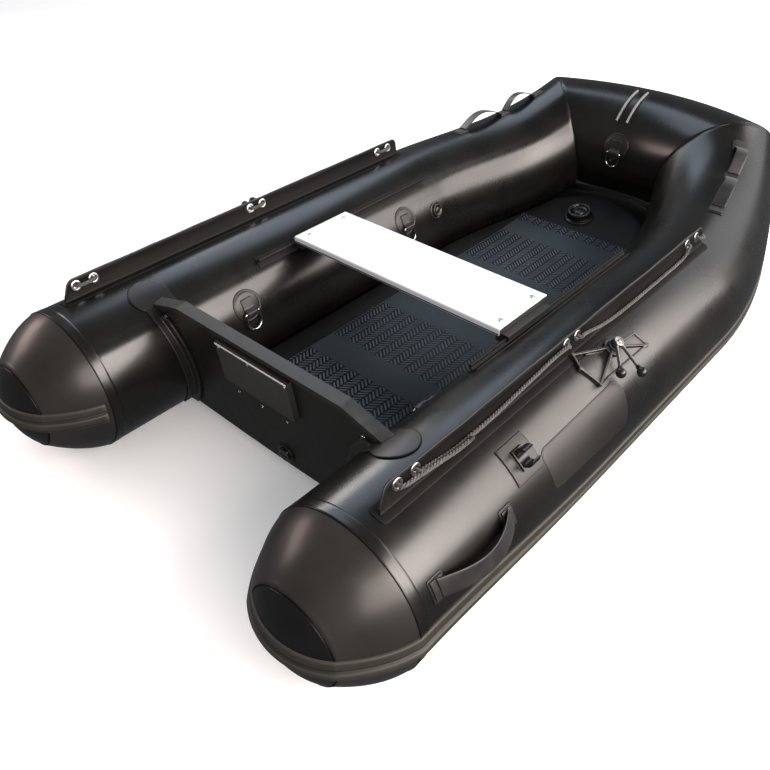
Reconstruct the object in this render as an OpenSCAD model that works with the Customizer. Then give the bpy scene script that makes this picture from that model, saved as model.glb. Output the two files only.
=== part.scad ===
// Inflatable tender with a U-shaped buoyancy tube, plywood transom and a sliding thwart.
// Working frame: x = 0 at the seam between tube and stern cone, +x to the bow, +y to port,
// z = 0 on the ground under the tubes. Every node is then moved so that the boat's box is centred.

/* [Buoyancy tube] */
// Diameter of the buoyancy tube
tube_d = 370; // [362:2:376]
// Distance between the centre lines of the two side tubes
tube_gap = 948; // [940:4:964]
// Length of the straight part of each side tube
straight_l = 1274; // [1260:2:1290]
// Length of the tapered cone at each stern end
cone_l = 130; // [120:2:140]
// Radius where the cone meets its end cap
cone_end_r = 108.5; // [100:0.5:112]
// Depth of the domed end cap
cap_depth = 38; // [30:2:44]

/* [Transom] */
// Thickness of the transom board
board_t = 27; // [22:1:30]
// Rake of the transom, top towards the stern
rake = 6.5; // [4:0.5:8]
// Width of the outer motor pad
pad_w = 240; // [200:5:260]
// Height of the outer motor pad
pad_h = 114; // [100:2:116]
// Thickness of the outer motor pad
pad_t = 15; // [8:1:18]

/* [Thwart] */
// Width of the thwart board, fore and aft
thwart_w = 201; // [180:1:220]
// Half length of the thwart board
thwart_hl = 341; // [334:1:346]
// Thickness of the thwart board
thwart_t = 18; // [14:1:20]
// Distance from the cone seam to the aft edge of the thwart
thwart_x = 653; // [620:1:700]

/* [Fittings] */
// Height of the lifeline band above the tube
band_h = 50; // [44:1:54]
// Diameter of the lifeline
rope_d = 9; // [8:0.5:10]
// Inner radius of the oar clip
clip_r = 15.5; // [14:0.5:17]
// Position of the rowlock from the cone seam
rowlock_x = 775; // [760:5:790]

/* [Hidden] */

R = tube_d/2;
W = tube_gap/2;
X1 = straight_l;            // end of the straight tube
X2 = X1 + 702;              // mitred kink between side and bow tubes
Y2 = 285.5;
Z2 = 296.3;
X3 = X2 + 60;               // bow tube centre
STR_T = 10.5;                 // rubbing strake, thickest point
STR_H = 26;                 // half height of the strake
STR_A = -12;                // strake angle on the side tube forward of the stern
$fn = 96;

// ---------- vector helpers ----------
function unit(v) = v/norm(v);
function lerp(a, b, t) = a + (b - a)*t;
function clamp01(t) = max(0, min(1, t));
function smooth(t) = let(u = clamp01(t)) u*u*(3 - 2*u);
function mirY(p) = [p[0], -p[1], p[2]];

module place() { translate([-X_MID, 0, 0]) children(); }
module other_side() { mirror([0, 1, 0]) children(); }

// Closed solid through a list of rings that all have the same number of points
module loft(rings) {
  n = len(rings[0]);
  m = len(rings);
  pts = [for (r = rings) for (p = r) p];
  faces = concat(
    [[for (j = [0:n-1]) j]],
    [[for (j = [n-1:-1:0]) (m-1)*n + j]],
    [for (i = [0:m-2]) for (j = [0:n-1]) let(k = (j+1) % n) [i*n + j, (i+1)*n + j, (i+1)*n + k]],
    [for (i = [0:m-2]) for (j = [0:n-1]) let(k = (j+1) % n) [i*n + j, (i+1)*n + k, i*n + k]]);
  polyhedron(pts, faces, convexity = 8);
}

// ---------- centre line of the port tube, s = 0 at the end of the straight, s = 1 at the kink ----------
function cl(s) = s <= 0 ? [X1 + s*(X2 - X1), W, R]
  : [X1 + s*(X2 - X1), W - (W - Y2)*pow(s, 1.774), R + (Z2 - R)*pow(s, 3.5)];
function cl_t(s) = s <= 0 ? [1, 0, 0]
  : unit([X2 - X1, -(W - Y2)*1.774*pow(s, 0.774), (Z2 - R)*3.5*pow(s, 2.5)]);
function cl_n(s) = let(t = cl_t(s)) unit([-t[1], t[0], 0]);
function cl_b(s) = cross(cl_t(s), cl_n(s));
// point on or above the tube: a = 0 outboard, 90 on top, 180 inboard
function on_side(s, a, h) = cl(s) + (R + h)*(cos(a)*cl_n(s) + sin(a)*cl_b(s));
function side_nrm(s, a) = cos(a)*cl_n(s) + sin(a)*cl_b(s);
function side_tan(s, a) = -sin(a)*cl_n(s) + cos(a)*cl_b(s);

// ---------- centre line of the bow tube, v = 1 at the port kink, -1 at the starboard kink ----------
function bl(v) = [X2 + (X3 - X2)*(1 - v*v), Y2*v, Z2];
function bl_t(v) = unit([2*v*(X3 - X2), -Y2, 0]);
function bl_n(v) = let(t = bl_t(v)) [-t[1], t[0], 0];

KT = cl_t(1);
KD = bl_t(1);

// section planes lean towards the mitre plane near the kink
function side_plane(s) = unit(cl_t(s) + pow(clamp01((s - 0.5)/0.5), 2)*KD);
function bow_plane(v) = unit(bl_t(v) + pow(abs(v), 3)*(v >= 0 ? KT : [-KT[0], KT[1], -KT[2]]));
function quarter_ring(s, n) = let(
    c = cl(s), t = cl_t(s), nn = cl_n(s), b = cl_b(s), m = side_plane(s))
  [for (i = [0:n-1]) let(a = 360*i/n, q = R*(cos(a)*nn + sin(a)*b)) c + q - t*((q*m)/(t*m))];
function bow_ring(v, n) = let(
    c = bl(v), t = bl_t(v), nn = bl_n(v), m = bow_plane(v))
  [for (i = [0:n-1]) let(a = 360*i/n, q = R*(cos(a)*nn + sin(a)*[0, 0, 1])) c + q - t*((q*m)/(t*m))];

NR = 48;
module tube_straight() { translate([0, W, R]) rotate([0, 90, 0]) cylinder(r = R, h = X1); }
module tube_quarter() { loft([for (i = [0:18]) quarter_ring(i/18, NR)]); }

module port_tube() { color("#24211f") place() tube_straight(); }
module starboard_tube() { color("#24211f") place() other_side() tube_straight(); }
module port_bow_quarter() { color("#262321") place() tube_quarter(); }
module starboard_bow_quarter() { color("#262321") place() other_side() tube_quarter(); }
module bow_tube() { color("#2a2725") place() loft([for (i = [0:12]) bow_ring(0.9999*(1 - i/6), NR)]); }

// ---------- stern cones ----------
// meridian: distance aft of the seam and radius; k = 0 at the seam, 1 at the end cap
function cone_x(k) = -cone_l*k;
function cone_r(k) = lerp(R, cone_end_r, k) + 4*7*k*(1 - k);
CAP_R = (cone_end_r*cone_end_r + cap_depth*cap_depth)/(2*cap_depth);   // dome radius
CAP_A = asin(cone_end_r/CAP_R);
module cone_body() {
  translate([0, W, R]) rotate([0, -90, 0]) rotate_extrude()
    polygon(concat([[0, 0]], [for (i = [0:12]) [cone_r(i/12), -cone_x(i/12)]], [[0, cone_l]]));
}
module cap_body() {
  translate([-cone_l, W, R]) rotate([0, -90, 0]) rotate_extrude()
    intersection() {
    translate([0, cap_depth - CAP_R]) circle(r = CAP_R, $fn = 180);
    square([cone_end_r + 0.01, cap_depth + 1]);
  }
}
module port_stern_cone() { color("#2b2725") place() cone_body(); }
module starboard_stern_cone() { color("#2b2725") place() other_side() cone_body(); }
module port_end_cap() { color("#161514") place() cap_body(); }
module starboard_end_cap() { color("#161514") place() other_side() cap_body(); }

// ---------- rubbing strake ----------
// outline of cone and cap in the strake's plane, STR_Z above the ground: u = 0 at the outboard seam, 1 at the tip
CONE_F = 0.62;
STR_Z = 190;
Z0 = STR_Z - R;
function plan_a(u) = lerp(CAP_A, asin(Z0/CAP_R), (u - CONE_F)/(1 - CONE_F));
// meridian point and its outward normal, both as (along x, radial)
function mer_pt(u) = u < CONE_F ? let(k = u/CONE_F) [cone_x(k), cone_r(k)]
  : let(a = plan_a(u)) [-cone_l - cap_depth + CAP_R*(1 - cos(a)), CAP_R*sin(a)];
function mer_n(u) = u < CONE_F ? let(k = u/CONE_F) unit([cone_end_r - R + 28*(1 - 2*k), cone_l])
  : let(a = plan_a(u)) [-cos(a), sin(a)];
// strake angle on the side tube
function strake_angle(x) = lerp(asin(Z0/R), -12, smooth(x/640));
// station: surface point, outward unit, upward unit, radius of curvature up and down
function st_stern(u, side) = let(p = mer_pt(u), n = mer_n(u), y = sqrt(max(0, p[1]*p[1] - Z0*Z0)),
    e = [n[0], side*n[1]*y/p[1], n[1]*Z0/p[1]], b = unit([0, 0, 1] - e[2]*e))
  [[p[0], W + side*y, STR_Z], e, b, p[1]/n[1]];
function st_tube(x) = let(a = strake_angle(x))
  [[x, W + R*cos(a), R + R*sin(a)], [0, cos(a), sin(a)], [0, -sin(a), cos(a)], R];
function st_quarter(s) = [on_side(s, STR_A, 0), side_nrm(s, STR_A), side_tan(s, STR_A), R];
function st_bow(v) = let(nn = bl_n(v))
  [bl(v) + R*(cos(STR_A)*nn + sin(STR_A)*[0, 0, 1]), cos(STR_A)*nn + sin(STR_A)*[0, 0, 1], -sin(STR_A)*nn + cos(STR_A)*[0, 0, 1], R];
function sag(d, r = 185) = r - sqrt(r*r - d*d);
// section in (outward, up), wound for loft; the last five points follow the tube
STR_SEC = [[-STR_H, 3.2], [-STR_H + 8, 4.2], [-STR_H + 12, 10], [-STR_H + 18, STR_T], [-STR_H + 30, STR_T],
  [-STR_H + 35, 6.5], [STR_H - 6, 5], [STR_H, 3], [STR_H, 0], [STR_H/2, 0], [0, 0], [-STR_H/2, 0], [-STR_H, 0]];
function strake_ring(st, lift) = [for (i = [0:12]) let(q = STR_SEC[i])
  st[0] + (q[1] + (i > 7 ? lift : 0) - sag(q[0], st[3]))*st[1] + q[0]*st[2]];
// slide a ring along t so that it lies in the plane through c with normal m
function sheared(ring, c, t, m) = [for (p = ring) p - t*(((p - c)*m)/(t*m))];
module strake() {
  lap = [0.06, 0.14, 0.22, 0.3, 0.38, 0.46, 0.54, 0.6];
  dome = [for (i = [0:8]) CONE_F + (1 - CONE_F)*i/9];
  aft = concat([for (u = lap) st_stern(u, -1)], [for (u = dome) st_stern(u, -1)], [st_stern(1, 1)],
    [for (i = [8:-1:0]) st_stern(dome[i], 1)], [for (i = [7:-1:0]) st_stern(lap[i], 1)], [st_stern(0.005, 1)]);
  loft(concat(
    [for (s = aft) strake_ring(s, 0.9)],
    [for (x = [1.5, 40, 90, 180, 280, 380, 480, 580, 680, 900, 1150]) strake_ring(st_tube(x), 0.5)],
    [for (i = [0:18]) let(s = i/18) sheared(strake_ring(st_quarter(s), i < 18 ? 0.6 : 2.4), cl(s), cl_t(s), side_plane(s))],
    [for (i = [1:6]) let(v = 1 - i/6) sheared(strake_ring(st_bow(v), i > 1 ? 0.6 : 1.5), bl(v), bl_t(v), bow_plane(v))]));
}
module port_rubbing_strake() { color("#33302c") place() strake(); }
module starboard_rubbing_strake() { color("#33302c") place() other_side() strake(); }

// ---------- bottom and floor ----------
// seam line where the bottom fabric meets the tube
AT_A = 180 + 49.5;
function seam_pt(x) = x <= X1 ? [x, W + (R + 0.6)*cos(AT_A), R + (R + 0.6)*sin(AT_A)]
  : on_side((x - X1)/(X2 - X1), AT_A, 0.8);
// keel line height along x
KEEL = [[250, 38], [600, 22], [900, 10], [1300, 9], [1500, 20], [1650, 38], [1800, 72], [1900, 112]];
function keel_z(x) = lookup(x, KEEL);
function bottom_ring(x) = let(p = seam_pt(x), y = p[1], z = seam_pt(p[0])[2], k = keel_z(p[0]))
  [[p[0], -y, z], [p[0], -y + 6, z + 4], [p[0], y - 6, z + 4], [p[0], y, z], [p[0], y - 4, z - 3],
   [p[0], 60, lerp(k, z, 0.12)], [p[0], 0, k], [p[0], -60, lerp(k, z, 0.12)], [p[0], -y + 4, z - 3]];
FST = [280, 400, 500, 600, 800, 1000, 1150, 1274, 1350, 1420, 1500, 1580, 1640];   // stations shared by bottom and deck
// last ring of the bottom, under the middle of the bow tube
bottom_tip = [[1908, -50, 149], [1908, -44, 153], [1908, 44, 153], [1908, 50, 149], [1908, 44, 145], [1908, 22, 142], [1908, 0, 141], [1908, -22, 142],
  [1908, -44, 145]];
function rev(r) = [for (i = [len(r) - 1:-1:0]) r[i]];
module hull_bottom() {
  color("#1c1b1a") place() loft([for (r = concat(
    [for (x = concat([254], FST, [1705, 1770, 1795, 1815, 1850, 1900])) bottom_ring(x)], [bottom_tip])) rev(r)]);
}
// deck section: half width and underside follow the seam line
function deck_hw(x) = let(p = seam_pt(x)) p[1] - 50 - 14*clamp01((x - X1)/500);
function deck_z(x) = seam_pt(x)[2] + 5.6;
DK0 = 1640; DK1 = 1770;     // the deck is flat between these, where its valve sits
function deck_ring(x, w, g) = let(z = deck_z(x), t = 55, c = 14)
  [[x, -w + 0, z + c + g], [x, -w + c, z + g], [x, w - c, z + g], [x, w, z + c + g], [x, w, z + t - c], [x, w - c, z + t],
   [x, -w + c, z + t], [x, -w, z + t - c]];
module floor_deck() {
  color("#1b232b") place() loft(concat(
    [for (x = concat(FST, [DK1])) deck_ring(x, deck_hw(x), 0)],
    [deck_ring(1795, 0.84*deck_hw(1795), 0), deck_ring(1815, 0.62*deck_hw(1815), 0), deck_ring(1826, 0.3*deck_hw(1826), 0)]));
}

// ---------- transom, drawn in a raked frame: u forward, y to port, v up the board ----------
module raked() { translate([250, 0, 45]) rotate([0, -rake, 0]) children(); }
HB = 337;                   // board height along the rake
module board_outline(g) {
  polygon([[-400, 5.4], [400, 5.4], [400, HB - 35 + g], [378, HB - 35 + g], [270 + g*0.2, HB + g], [-270 - g*0.2, HB + g],
    [-378, HB - 35 + g], [-400, HB - 35 + g]]);
}
// plate in the raked frame between u0 and u1
module upright(u0, u1) { translate([u1, 0, 0]) rotate([90, 0, -90]) mirror([1, 0, 0]) linear_extrude(u1 - u0) children(); }
module tubes_grown(g) {
  for (s = [-1, 1]) translate([-50, s*W, R]) rotate([0, 90, 0]) cylinder(r = R + g, h = 700);
}
module transom_board() {
  color("#1d1c1a") place() difference() {
    raked() upright(0, board_t) board_outline(0);
    tubes_grown(4.6);
    drain_at() cylinder(r = 15, h = 80, center = true);
  }
}
module transom_top_rail() {
  color("#5c5f61") place() difference() {
    raked() upright(-3, board_t + 3) difference() { board_outline(3.2); translate([0, -11]) board_outline(0); }
    raked() upright(-0.2, board_t + 0.2) board_outline(0.2);
    tubes_grown(4.6);
  }
}
module outer_motor_pad() {
  color("#201f1c") place() raked() difference() {
    translate([-pad_t, -pad_w/2, HB - 14 - pad_h]) cube([pad_t, pad_w, pad_h]);
    translate([-pad_t - 1, -pad_w/2 - 1, HB - 14]) rotate([0, 45, 0]) cube([4, pad_w + 2, 4], center = false);
  }
}
module inner_motor_pad() {
  color("#1a1a1a") place() raked() translate([board_t, -pad_w/2 + 10, HB - 14 - pad_h]) cube([8, pad_w - 20, pad_h]);
}
module holder() {
  difference() {
    union() {
      // patch glued to the tube
      intersection() {
        difference() {
          translate([120, W, R]) rotate([0, 90, 0]) cylinder(r = R + 4, h = 300);
          translate([119, W, R]) rotate([0, 90, 0]) cylinder(r = R, h = 302);
        }
        union() {
          raked() translate([-30, 200, 8]) cube([86, 190, 300]);
          // rounded tongue over the top of the tube
          translate([222, W, R]) rotate([22, 0, 0]) cylinder(r = 52, h = 400);
        }
      }
      // cheeks on both faces of the board
      intersection() {
        difference() {
          translate([120, W, R]) rotate([0, 90, 0]) cylinder(r = R + 24, h = 300);
          translate([119, W, R]) rotate([0, 90, 0]) cylinder(r = R + 3, h = 302);
        }
        raked() union() {
          translate([-9, 230, 12]) cube([8.8, 150, 272]);
          translate([board_t + 0.2, 230, 60]) cube([8.8, 150, 224]);
        }
      }
    }
  }
}
module port_transom_holder() { color("#2f2b28") place() holder(); }
module starboard_transom_holder() { color("#2f2b28") place() other_side() holder(); }
// local z points aft out of the board's aft face
module drain_at() { raked() translate([0, -35, 38]) rotate([0, -90, 0]) children(); }
module drain_valve() {
  color("#0f0f0f") place() drain_at() difference() {
    union() {
      cylinder(r = 26, h = 5);
      cylinder(r = 19, h = 11);
      translate([0, 0, -board_t - 3]) cylinder(r = 14.95, h = board_t + 6);
      translate([0, 0, -board_t - 3]) cylinder(r = 21, h = 3);
    }
    // finger slot in the plug
    translate([-2, -12, 8]) cube([4, 24, 6]);
  }
}

// ---------- thwart ----------
TH_Z = 369;                 // top of the thwart
RAIL_A = 128;               // rail angle on the tube
BEAD_H = 13;                // bead centre above the tube skin
RAIL_X0 = 530;
RAIL_X1 = 1215;
function side_at(a, r) = [W + r*cos(a), R + r*sin(a)];
module thwart_board() {
  color("#eef2f6") place() translate([thwart_x, -thwart_hl, TH_Z - thwart_t]) {
    difference() {
      cube([thwart_w, 2*thwart_hl, thwart_t]);
      for (s = [0, 1]) translate([s*thwart_w, -1, thwart_t]) rotate([0, 45, 0]) translate([-1.5, 0, -1.5]) cube([3, 2*thwart_hl + 2, 3]);
    }
  }
}
// C-section that hooks over the rail bead at each end of the board
module channel_side() {
  b = side_at(RAIL_A, R + BEAD_H);
  translate([thwart_x + 12, 0, 0]) difference() {
    translate([0, b[0] - 27, b[1] - 13]) cube([thwart_w - 24, 36, TH_Z - thwart_t - b[1] + 13]);
    translate([-1, b[0], b[1]]) rotate([0, 90, 0]) cylinder(r = 5.6, h = thwart_w);
    // slot for the fin that carries the bead
    translate([-1, b[0], b[1]]) rotate([RAIL_A - 90, 0, 0]) translate([0, -2.4, -30]) cube([thwart_w, 4.8, 30]);
    translate([-1, W, R]) rotate([0, 90, 0]) cylinder(r = R + 5.5, h = thwart_w);
  }
}
module thwart_channels() { color("#cfd4d8") place() { channel_side(); other_side() channel_side(); } }
module thwart_rail() {
  b = side_at(RAIL_A, R + BEAD_H);
  union() {
    intersection() {
      difference() {
        translate([RAIL_X0, W, R]) rotate([0, 90, 0]) cylinder(r = R + 2, h = RAIL_X1 - RAIL_X0);
        translate([RAIL_X0 - 1, W, R]) rotate([0, 90, 0]) cylinder(r = R, h = RAIL_X1 - RAIL_X0 + 2);
      }
      translate([RAIL_X0, W, R]) rotate([RAIL_A - 90, 0, 0]) translate([0, -16, R - 20]) cube([RAIL_X1 - RAIL_X0, 32, 40]);
    }
    translate([RAIL_X0, W, R]) rotate([RAIL_A - 90, 0, 0]) translate([0, -1.5, R + 1]) cube([RAIL_X1 - RAIL_X0, 3, BEAD_H - 1]);
    translate([RAIL_X0, b[0], b[1]]) rotate([0, 90, 0]) cylinder(r = 4, h = RAIL_X1 - RAIL_X0);
  }
}
module port_thwart_rail() { color("#3a3836") place() thwart_rail(); }
module starboard_thwart_rail() { color("#3a3836") place() other_side() thwart_rail(); }

// ---------- lifeline band, grommets and rope ----------
BAND_A = 79;
BX0 = 72;
BT = 4;                     // band thickness
// per side: forward end, inboard lean of the standing band, grommet stations, grommet height up the band
PB = [1270, 0, [98, 146, 648, 692, 1180, 1230], 32];
SB = [1340, 20, [111, 160, 664, 708, 1250, 1303], 34];
// frame on the tube skin: local x forward, y tangential (outboard-down), z radial
module skin_frame(x, a) { translate([x, W, R]) rotate([a - 90, 0, 0]) translate([0, 0, R]) children(); }
module grommet_at(b, x) { skin_frame(x, BAND_A) rotate([b[1], 0, 0]) translate([0, 0, b[3]]) rotate([90, 0, 0]) children(); }
module band(b) {
  difference() {
    union() {
      intersection() {
        difference() {
          translate([BX0 - 22, W, R]) rotate([0, 90, 0]) cylinder(r = R + 2, h = b[0] - BX0 + 30);
          translate([BX0 - 23, W, R]) rotate([0, 90, 0]) cylinder(r = R, h = b[0] - BX0 + 32);
        }
        skin_frame(BX0 - 22, BAND_A) translate([0, -22, -20]) cube([b[0] - BX0 + 30, 44, 40]);
      }
      skin_frame(BX0, BAND_A) rotate([b[1], 0, 0]) rotate([90, 0, 0]) linear_extrude(BT, center = true)
        polygon([[-12, 1.3], [b[0] - BX0, 1.3], [b[0] - BX0, band_h - 12], [b[0] - BX0 - 4, band_h - 4], [b[0] - BX0 - 12, band_h],
          [22, band_h], [12, band_h - 3], [5, band_h - 10], [-12, 8]]);
    }
    for (x = b[2]) grommet_at(b, x) cylinder(r = 9.5, h = 12, center = true);
  }
}
module port_lifeline_band() { color("#3b3a38") place() band(PB); }
module starboard_lifeline_band() { color("#3b3a38") place() other_side() band(SB); }
module grommet_set(b) {
  for (x = b[2]) grommet_at(b, x) difference() {
    union() {
      cylinder(r = 9.4, h = BT, center = true);
      for (s = [-1, 1]) translate([0, 0, s*(BT/2 + 0.9)]) cylinder(r = 14, h = 1.6, center = true);
    }
    cylinder(r = 7, h = 30, center = true);
  }
}
module port_grommets() { color("#c8ccce") place() grommet_set(PB); }
module starboard_grommets() { color("#c8ccce") place() other_side() grommet_set(SB); }

// lifeline route as [x, distance outboard of the band's mid plane, distance up the band]
function pair(x0, x1, g) = [[x0 - 2, 12, g - 2.5], [x0, 6, g], [x0, 0, g], [x0, -5.5, g], [x0 + 5, -10.5, g], [x1 - 5, -10.5, g],
  [x1, -5.5, g], [x1, 0, g], [x1, 6, g], [x1 + 2, 12, g - 2.5]];
PR = concat([[300, 17, 9], [250, 17, 9], [205, 17, 12], [160, 17, 19], [125, 17, 27], [104, 16, 31], [97, 12, 32]], pair(98, 146, 32),
  [[158, 9, 25], [185, 8, 17], [220, 7.2, 10], [300, 7.2, 7.6], [400, 7.2, 7.6], [500, 7.2, 12], [580, 7.2, 21], [625, 9, 27], [641, 11, 30]], pair(648, 692, 32),
  [[700, 11, 30], [715, 9, 25], [760, 7.2, 14], [820, 7.2, 7.6], [930, 7.2, 7.6], [1040, 7.2, 10], [1120, 7.2, 19], [1160, 9, 27], [1173, 11, 30]], pair(1180, 1230, 32),
  [[1240, 12.5, 30], [1252, 10, 27]]);
SR = concat([[310, 17, 16], [262, 17, 17], [216, 17, 23], [170, 17, 29], [135, 17, 33], [117, 16, 34], [110, 12, 34]], pair(111, 160, 34),
  [[172, 9, 29], [202, 8, 23.7], [232, 7.2, 18], [263, 7.2, 14.4], [332, 7.2, 13.5], [395, 7.2, 14.9], [467, 7.2, 20.5], [524, 7.2, 25], [612, 7.6, 31.7], [645, 9.5, 33.5], [657, 11.5, 34]], pair(664, 708, 34),
  [[718, 11, 33], [748, 8, 26.4], [790, 7.2, 17], [848, 7.2, 9.2], [945, 7.2, 5.6], [1035, 7.2, 5.6], [1117, 7.2, 5.6], [1197, 7.2, 6.4], [1225, 8, 11], [1240, 10, 22], [1246, 12, 30]], pair(1250, 1303, 34),
  [[1312, 13, 32], [1324, 10, 29]]);
function rope_pt(q, lean) = let(y = q[1]*cos(lean) - q[2]*sin(lean), z = q[1]*sin(lean) + q[2]*cos(lean), c = cos(BAND_A), s = sin(BAND_A))
  [q[0], W + (R + z)*c + y*s, R + (R + z)*s - y*c];
function path_t(P, i) = unit(P[min(i + 1, len(P) - 1)] - P[max(i - 1, 0)]);
// the rope's section turns with the path and never with its own axis
function rope_ring(P, i, r, n) = let(t = path_t(P, i), u = unit(cross(t, [0, -sin(BAND_A), cos(BAND_A)] + [0.001, 0, 0])), v = cross(t, u))
  [for (j = [0:n-1]) P[i] + r*(cos(360*j/n)*u + sin(360*j/n)*v)];
module rope(route, lean) {
  P = [for (q = route) rope_pt(q, lean)];
  n = len(P);
  loft([for (i = [0:n-1]) rope_ring(P, i, i > n - 2 ? 7 : rope_d/2, 8)]);
}
module port_lifeline() { color("#4b4a47") place() rope(PR, 0); }
module starboard_lifeline() { color("#4b4a47") place() other_side() rope(SR, 20); }

// ---------- rowlocks ----------
RL_A = 63;                  // angle of the rowlock pin on the tube
module shell_patch(x0, x1, a0, a1, t) {
  // conforming patch between two angles
  am = (a0 + a1)/2;
  hw = (R + t)*sin((a1 - a0)/2);
  intersection() {
    difference() {
      translate([x0, W, R]) rotate([0, 90, 0]) cylinder(r = R + t, h = x1 - x0);
      translate([x0 - 1, W, R]) rotate([0, 90, 0]) cylinder(r = R, h = x1 - x0 + 2);
    }
    skin_frame(x0, am) translate([0, -hw, -R/2]) cube([x1 - x0, 2*hw, R]);
  }
}
// corners of the base: distance forward of the pin, tube angle, height above the skin
RIB_C = [[-99, 76.5, 8], [-115, 66.5, 6], [-101, 50.5, 7], [102, 48.7, 7], [91, 60.8, 7]];
function loc(q) = [q[0], (R + q[2])*sin(RL_A - q[1]), (R + q[2])*cos(RL_A - q[1]) - R];
// standing web between two points, 5 wide, its top just above the line
module web(p, q, w) {
  d = q - p; l = norm(d);
  translate(p) rotate([0, acos(d[2]/l), atan2(d[1], d[0])]) translate([-2, -w/2, 0]) cube([16, w, l]);
}
module rowlock_base() {
  difference() {
    union() {
      intersection() {
        translate([rowlock_x - 130, W, R]) rotate([0, 90, 0]) cylinder(r = R + 4, h = 260);
        skin_frame(rowlock_x, RL_A) translate([0, 0, -30]) linear_extrude(40)
          polygon([[-99, -26.5], [20, -26.5], [91, 9], [104, 46], [-103, 42], [-116, -10]]);
      }
      skin_frame(rowlock_x, RL_A) {
        cylinder(r = 21, h = 13);
        cylinder(r = 15, h = 22);
        // raised webs from the pedestal to the corners, and the outer rim
        for (i = [0, 2, 3, 4]) web([0, 0, 15], loc(RIB_C[i]), 5.6);
        for (i = [0:3]) web(loc(RIB_C[i]), loc(RIB_C[i + 1]), 5);
        for (q = RIB_C) translate([loc(q)[0], loc(q)[1], loc(q)[2] - 12]) cylinder(r = 4.2, h = 14.6);
      }
    }
    translate([rowlock_x - 200, W, R]) rotate([0, 90, 0]) cylinder(r = R, h = 400);
    // room for the flange of the lifeline band
    intersection() {
      translate([rowlock_x - 200, W, R]) rotate([0, 90, 0]) cylinder(r = R + 2.4, h = 400);
      skin_frame(rowlock_x - 200, BAND_A) translate([0, -40, -40]) cube([400, 62.6, 80]);
    }
    skin_frame(rowlock_x, RL_A) translate([0, 0, -1]) cylinder(r = 6.05, h = 80);
  }
}
// two horns on a swivel pin, at rest leaning 30 degrees aft of straight outboard
module rowlock() {
  skin_frame(rowlock_x, RL_A) rotate([0, 0, 30]) {
    translate([0, 0, 8]) cylinder(r = 6, h = 20);
    translate([0, 0, 22.6]) cylinder(r = 13, h = 15);
    for (s = [-1, 1]) translate([s*5, 0, 31]) rotate([-90, 0, -s*17]) {
      cylinder(r = 3.6, h = 82);
      translate([0, 0, 82]) sphere(r = 11.5);
    }
  }
}
module port_rowlock_base() { color("#151515") place() rowlock_base(); }
module starboard_rowlock_base() { color("#151515") place() other_side() rowlock_base(); }
module port_rowlock() { color("#a9aba8") place() rowlock(); }
module starboard_rowlock() { color("#a9aba8") place() other_side() rowlock(); }

// ---------- oar clip ----------
OC_X = 374;
OC_A = 50;
module oar_clip() {
  union() {
    shell_patch(OC_X - 42, OC_X + 42, OC_A - 13, OC_A + 13, 2.5);
    skin_frame(OC_X, OC_A) difference() {
      union() {
        translate([-16, -22, 2]) cube([32, 44, 6]);
        translate([0, 0, 8 + clip_r]) rotate([0, 90, 0]) cylinder(r = clip_r + 5, h = 26, center = true);
        translate([-13, -14, 4]) cube([26, 28, 14]);
      }
      translate([0, 0, 8 + clip_r]) rotate([0, 90, 0]) cylinder(r = clip_r, h = 60, center = true);
      translate([-40, -11, 8 + clip_r]) cube([80, 22, 60]);
    }
  }
}
module port_oar_clip() { color("#111111") place() oar_clip(); }
module starboard_oar_clip() { color("#111111") place() other_side() oar_clip(); }

// ---------- webbing handles ----------
// strap ring: centre, width direction, normal
function strap_ring(c, w, nrm, hw, t) = [c - hw*w, c + hw*w, c + hw*w + t*nrm, c - hw*w + t*nrm];
// carry handle: an arch between two pads on the outboard side
HA_X0 = 66; HA_X1 = 277;
function arch(t) = let(h = pow(max(0, sin(180*pow(t, 1.2))), 0.8)) [lerp(HA_X0, HA_X1, t), 28 - 6.5*h, 4.5 + 19.5*h];
module carry_handle() {
  st = [for (i = [0:16]) let(q = arch(i/16), q2 = arch(min(1, i/16 + 0.01)), q1 = arch(max(0, i/16 - 0.01)),
      c = [q[0], W + (R + q[2])*cos(q[1]), R + (R + q[2])*sin(q[1])],
      er = [0, cos(q[1]), sin(q[1])], w = [0, -sin(q[1]), cos(q[1])],
      slope = unit([q2[0] - q1[0], q2[2] - q1[2]]),
      nrm = slope[0]*er + [-slope[1], 0, 0])
    strap_ring(c, w, nrm, 20, 3)];
  loft([for (r = st) [r[3], r[2], r[1], r[0]]]);
  shell_patch(46, 88, 20, 35.6, 5);
  shell_patch(256, 296, 20.5, 35.8, 5);
}
module port_carry_handle() { color("#1a1a1a") place() carry_handle(); }
module starboard_carry_handle() { color("#1a1a1a") place() other_side() carry_handle(); }
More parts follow.
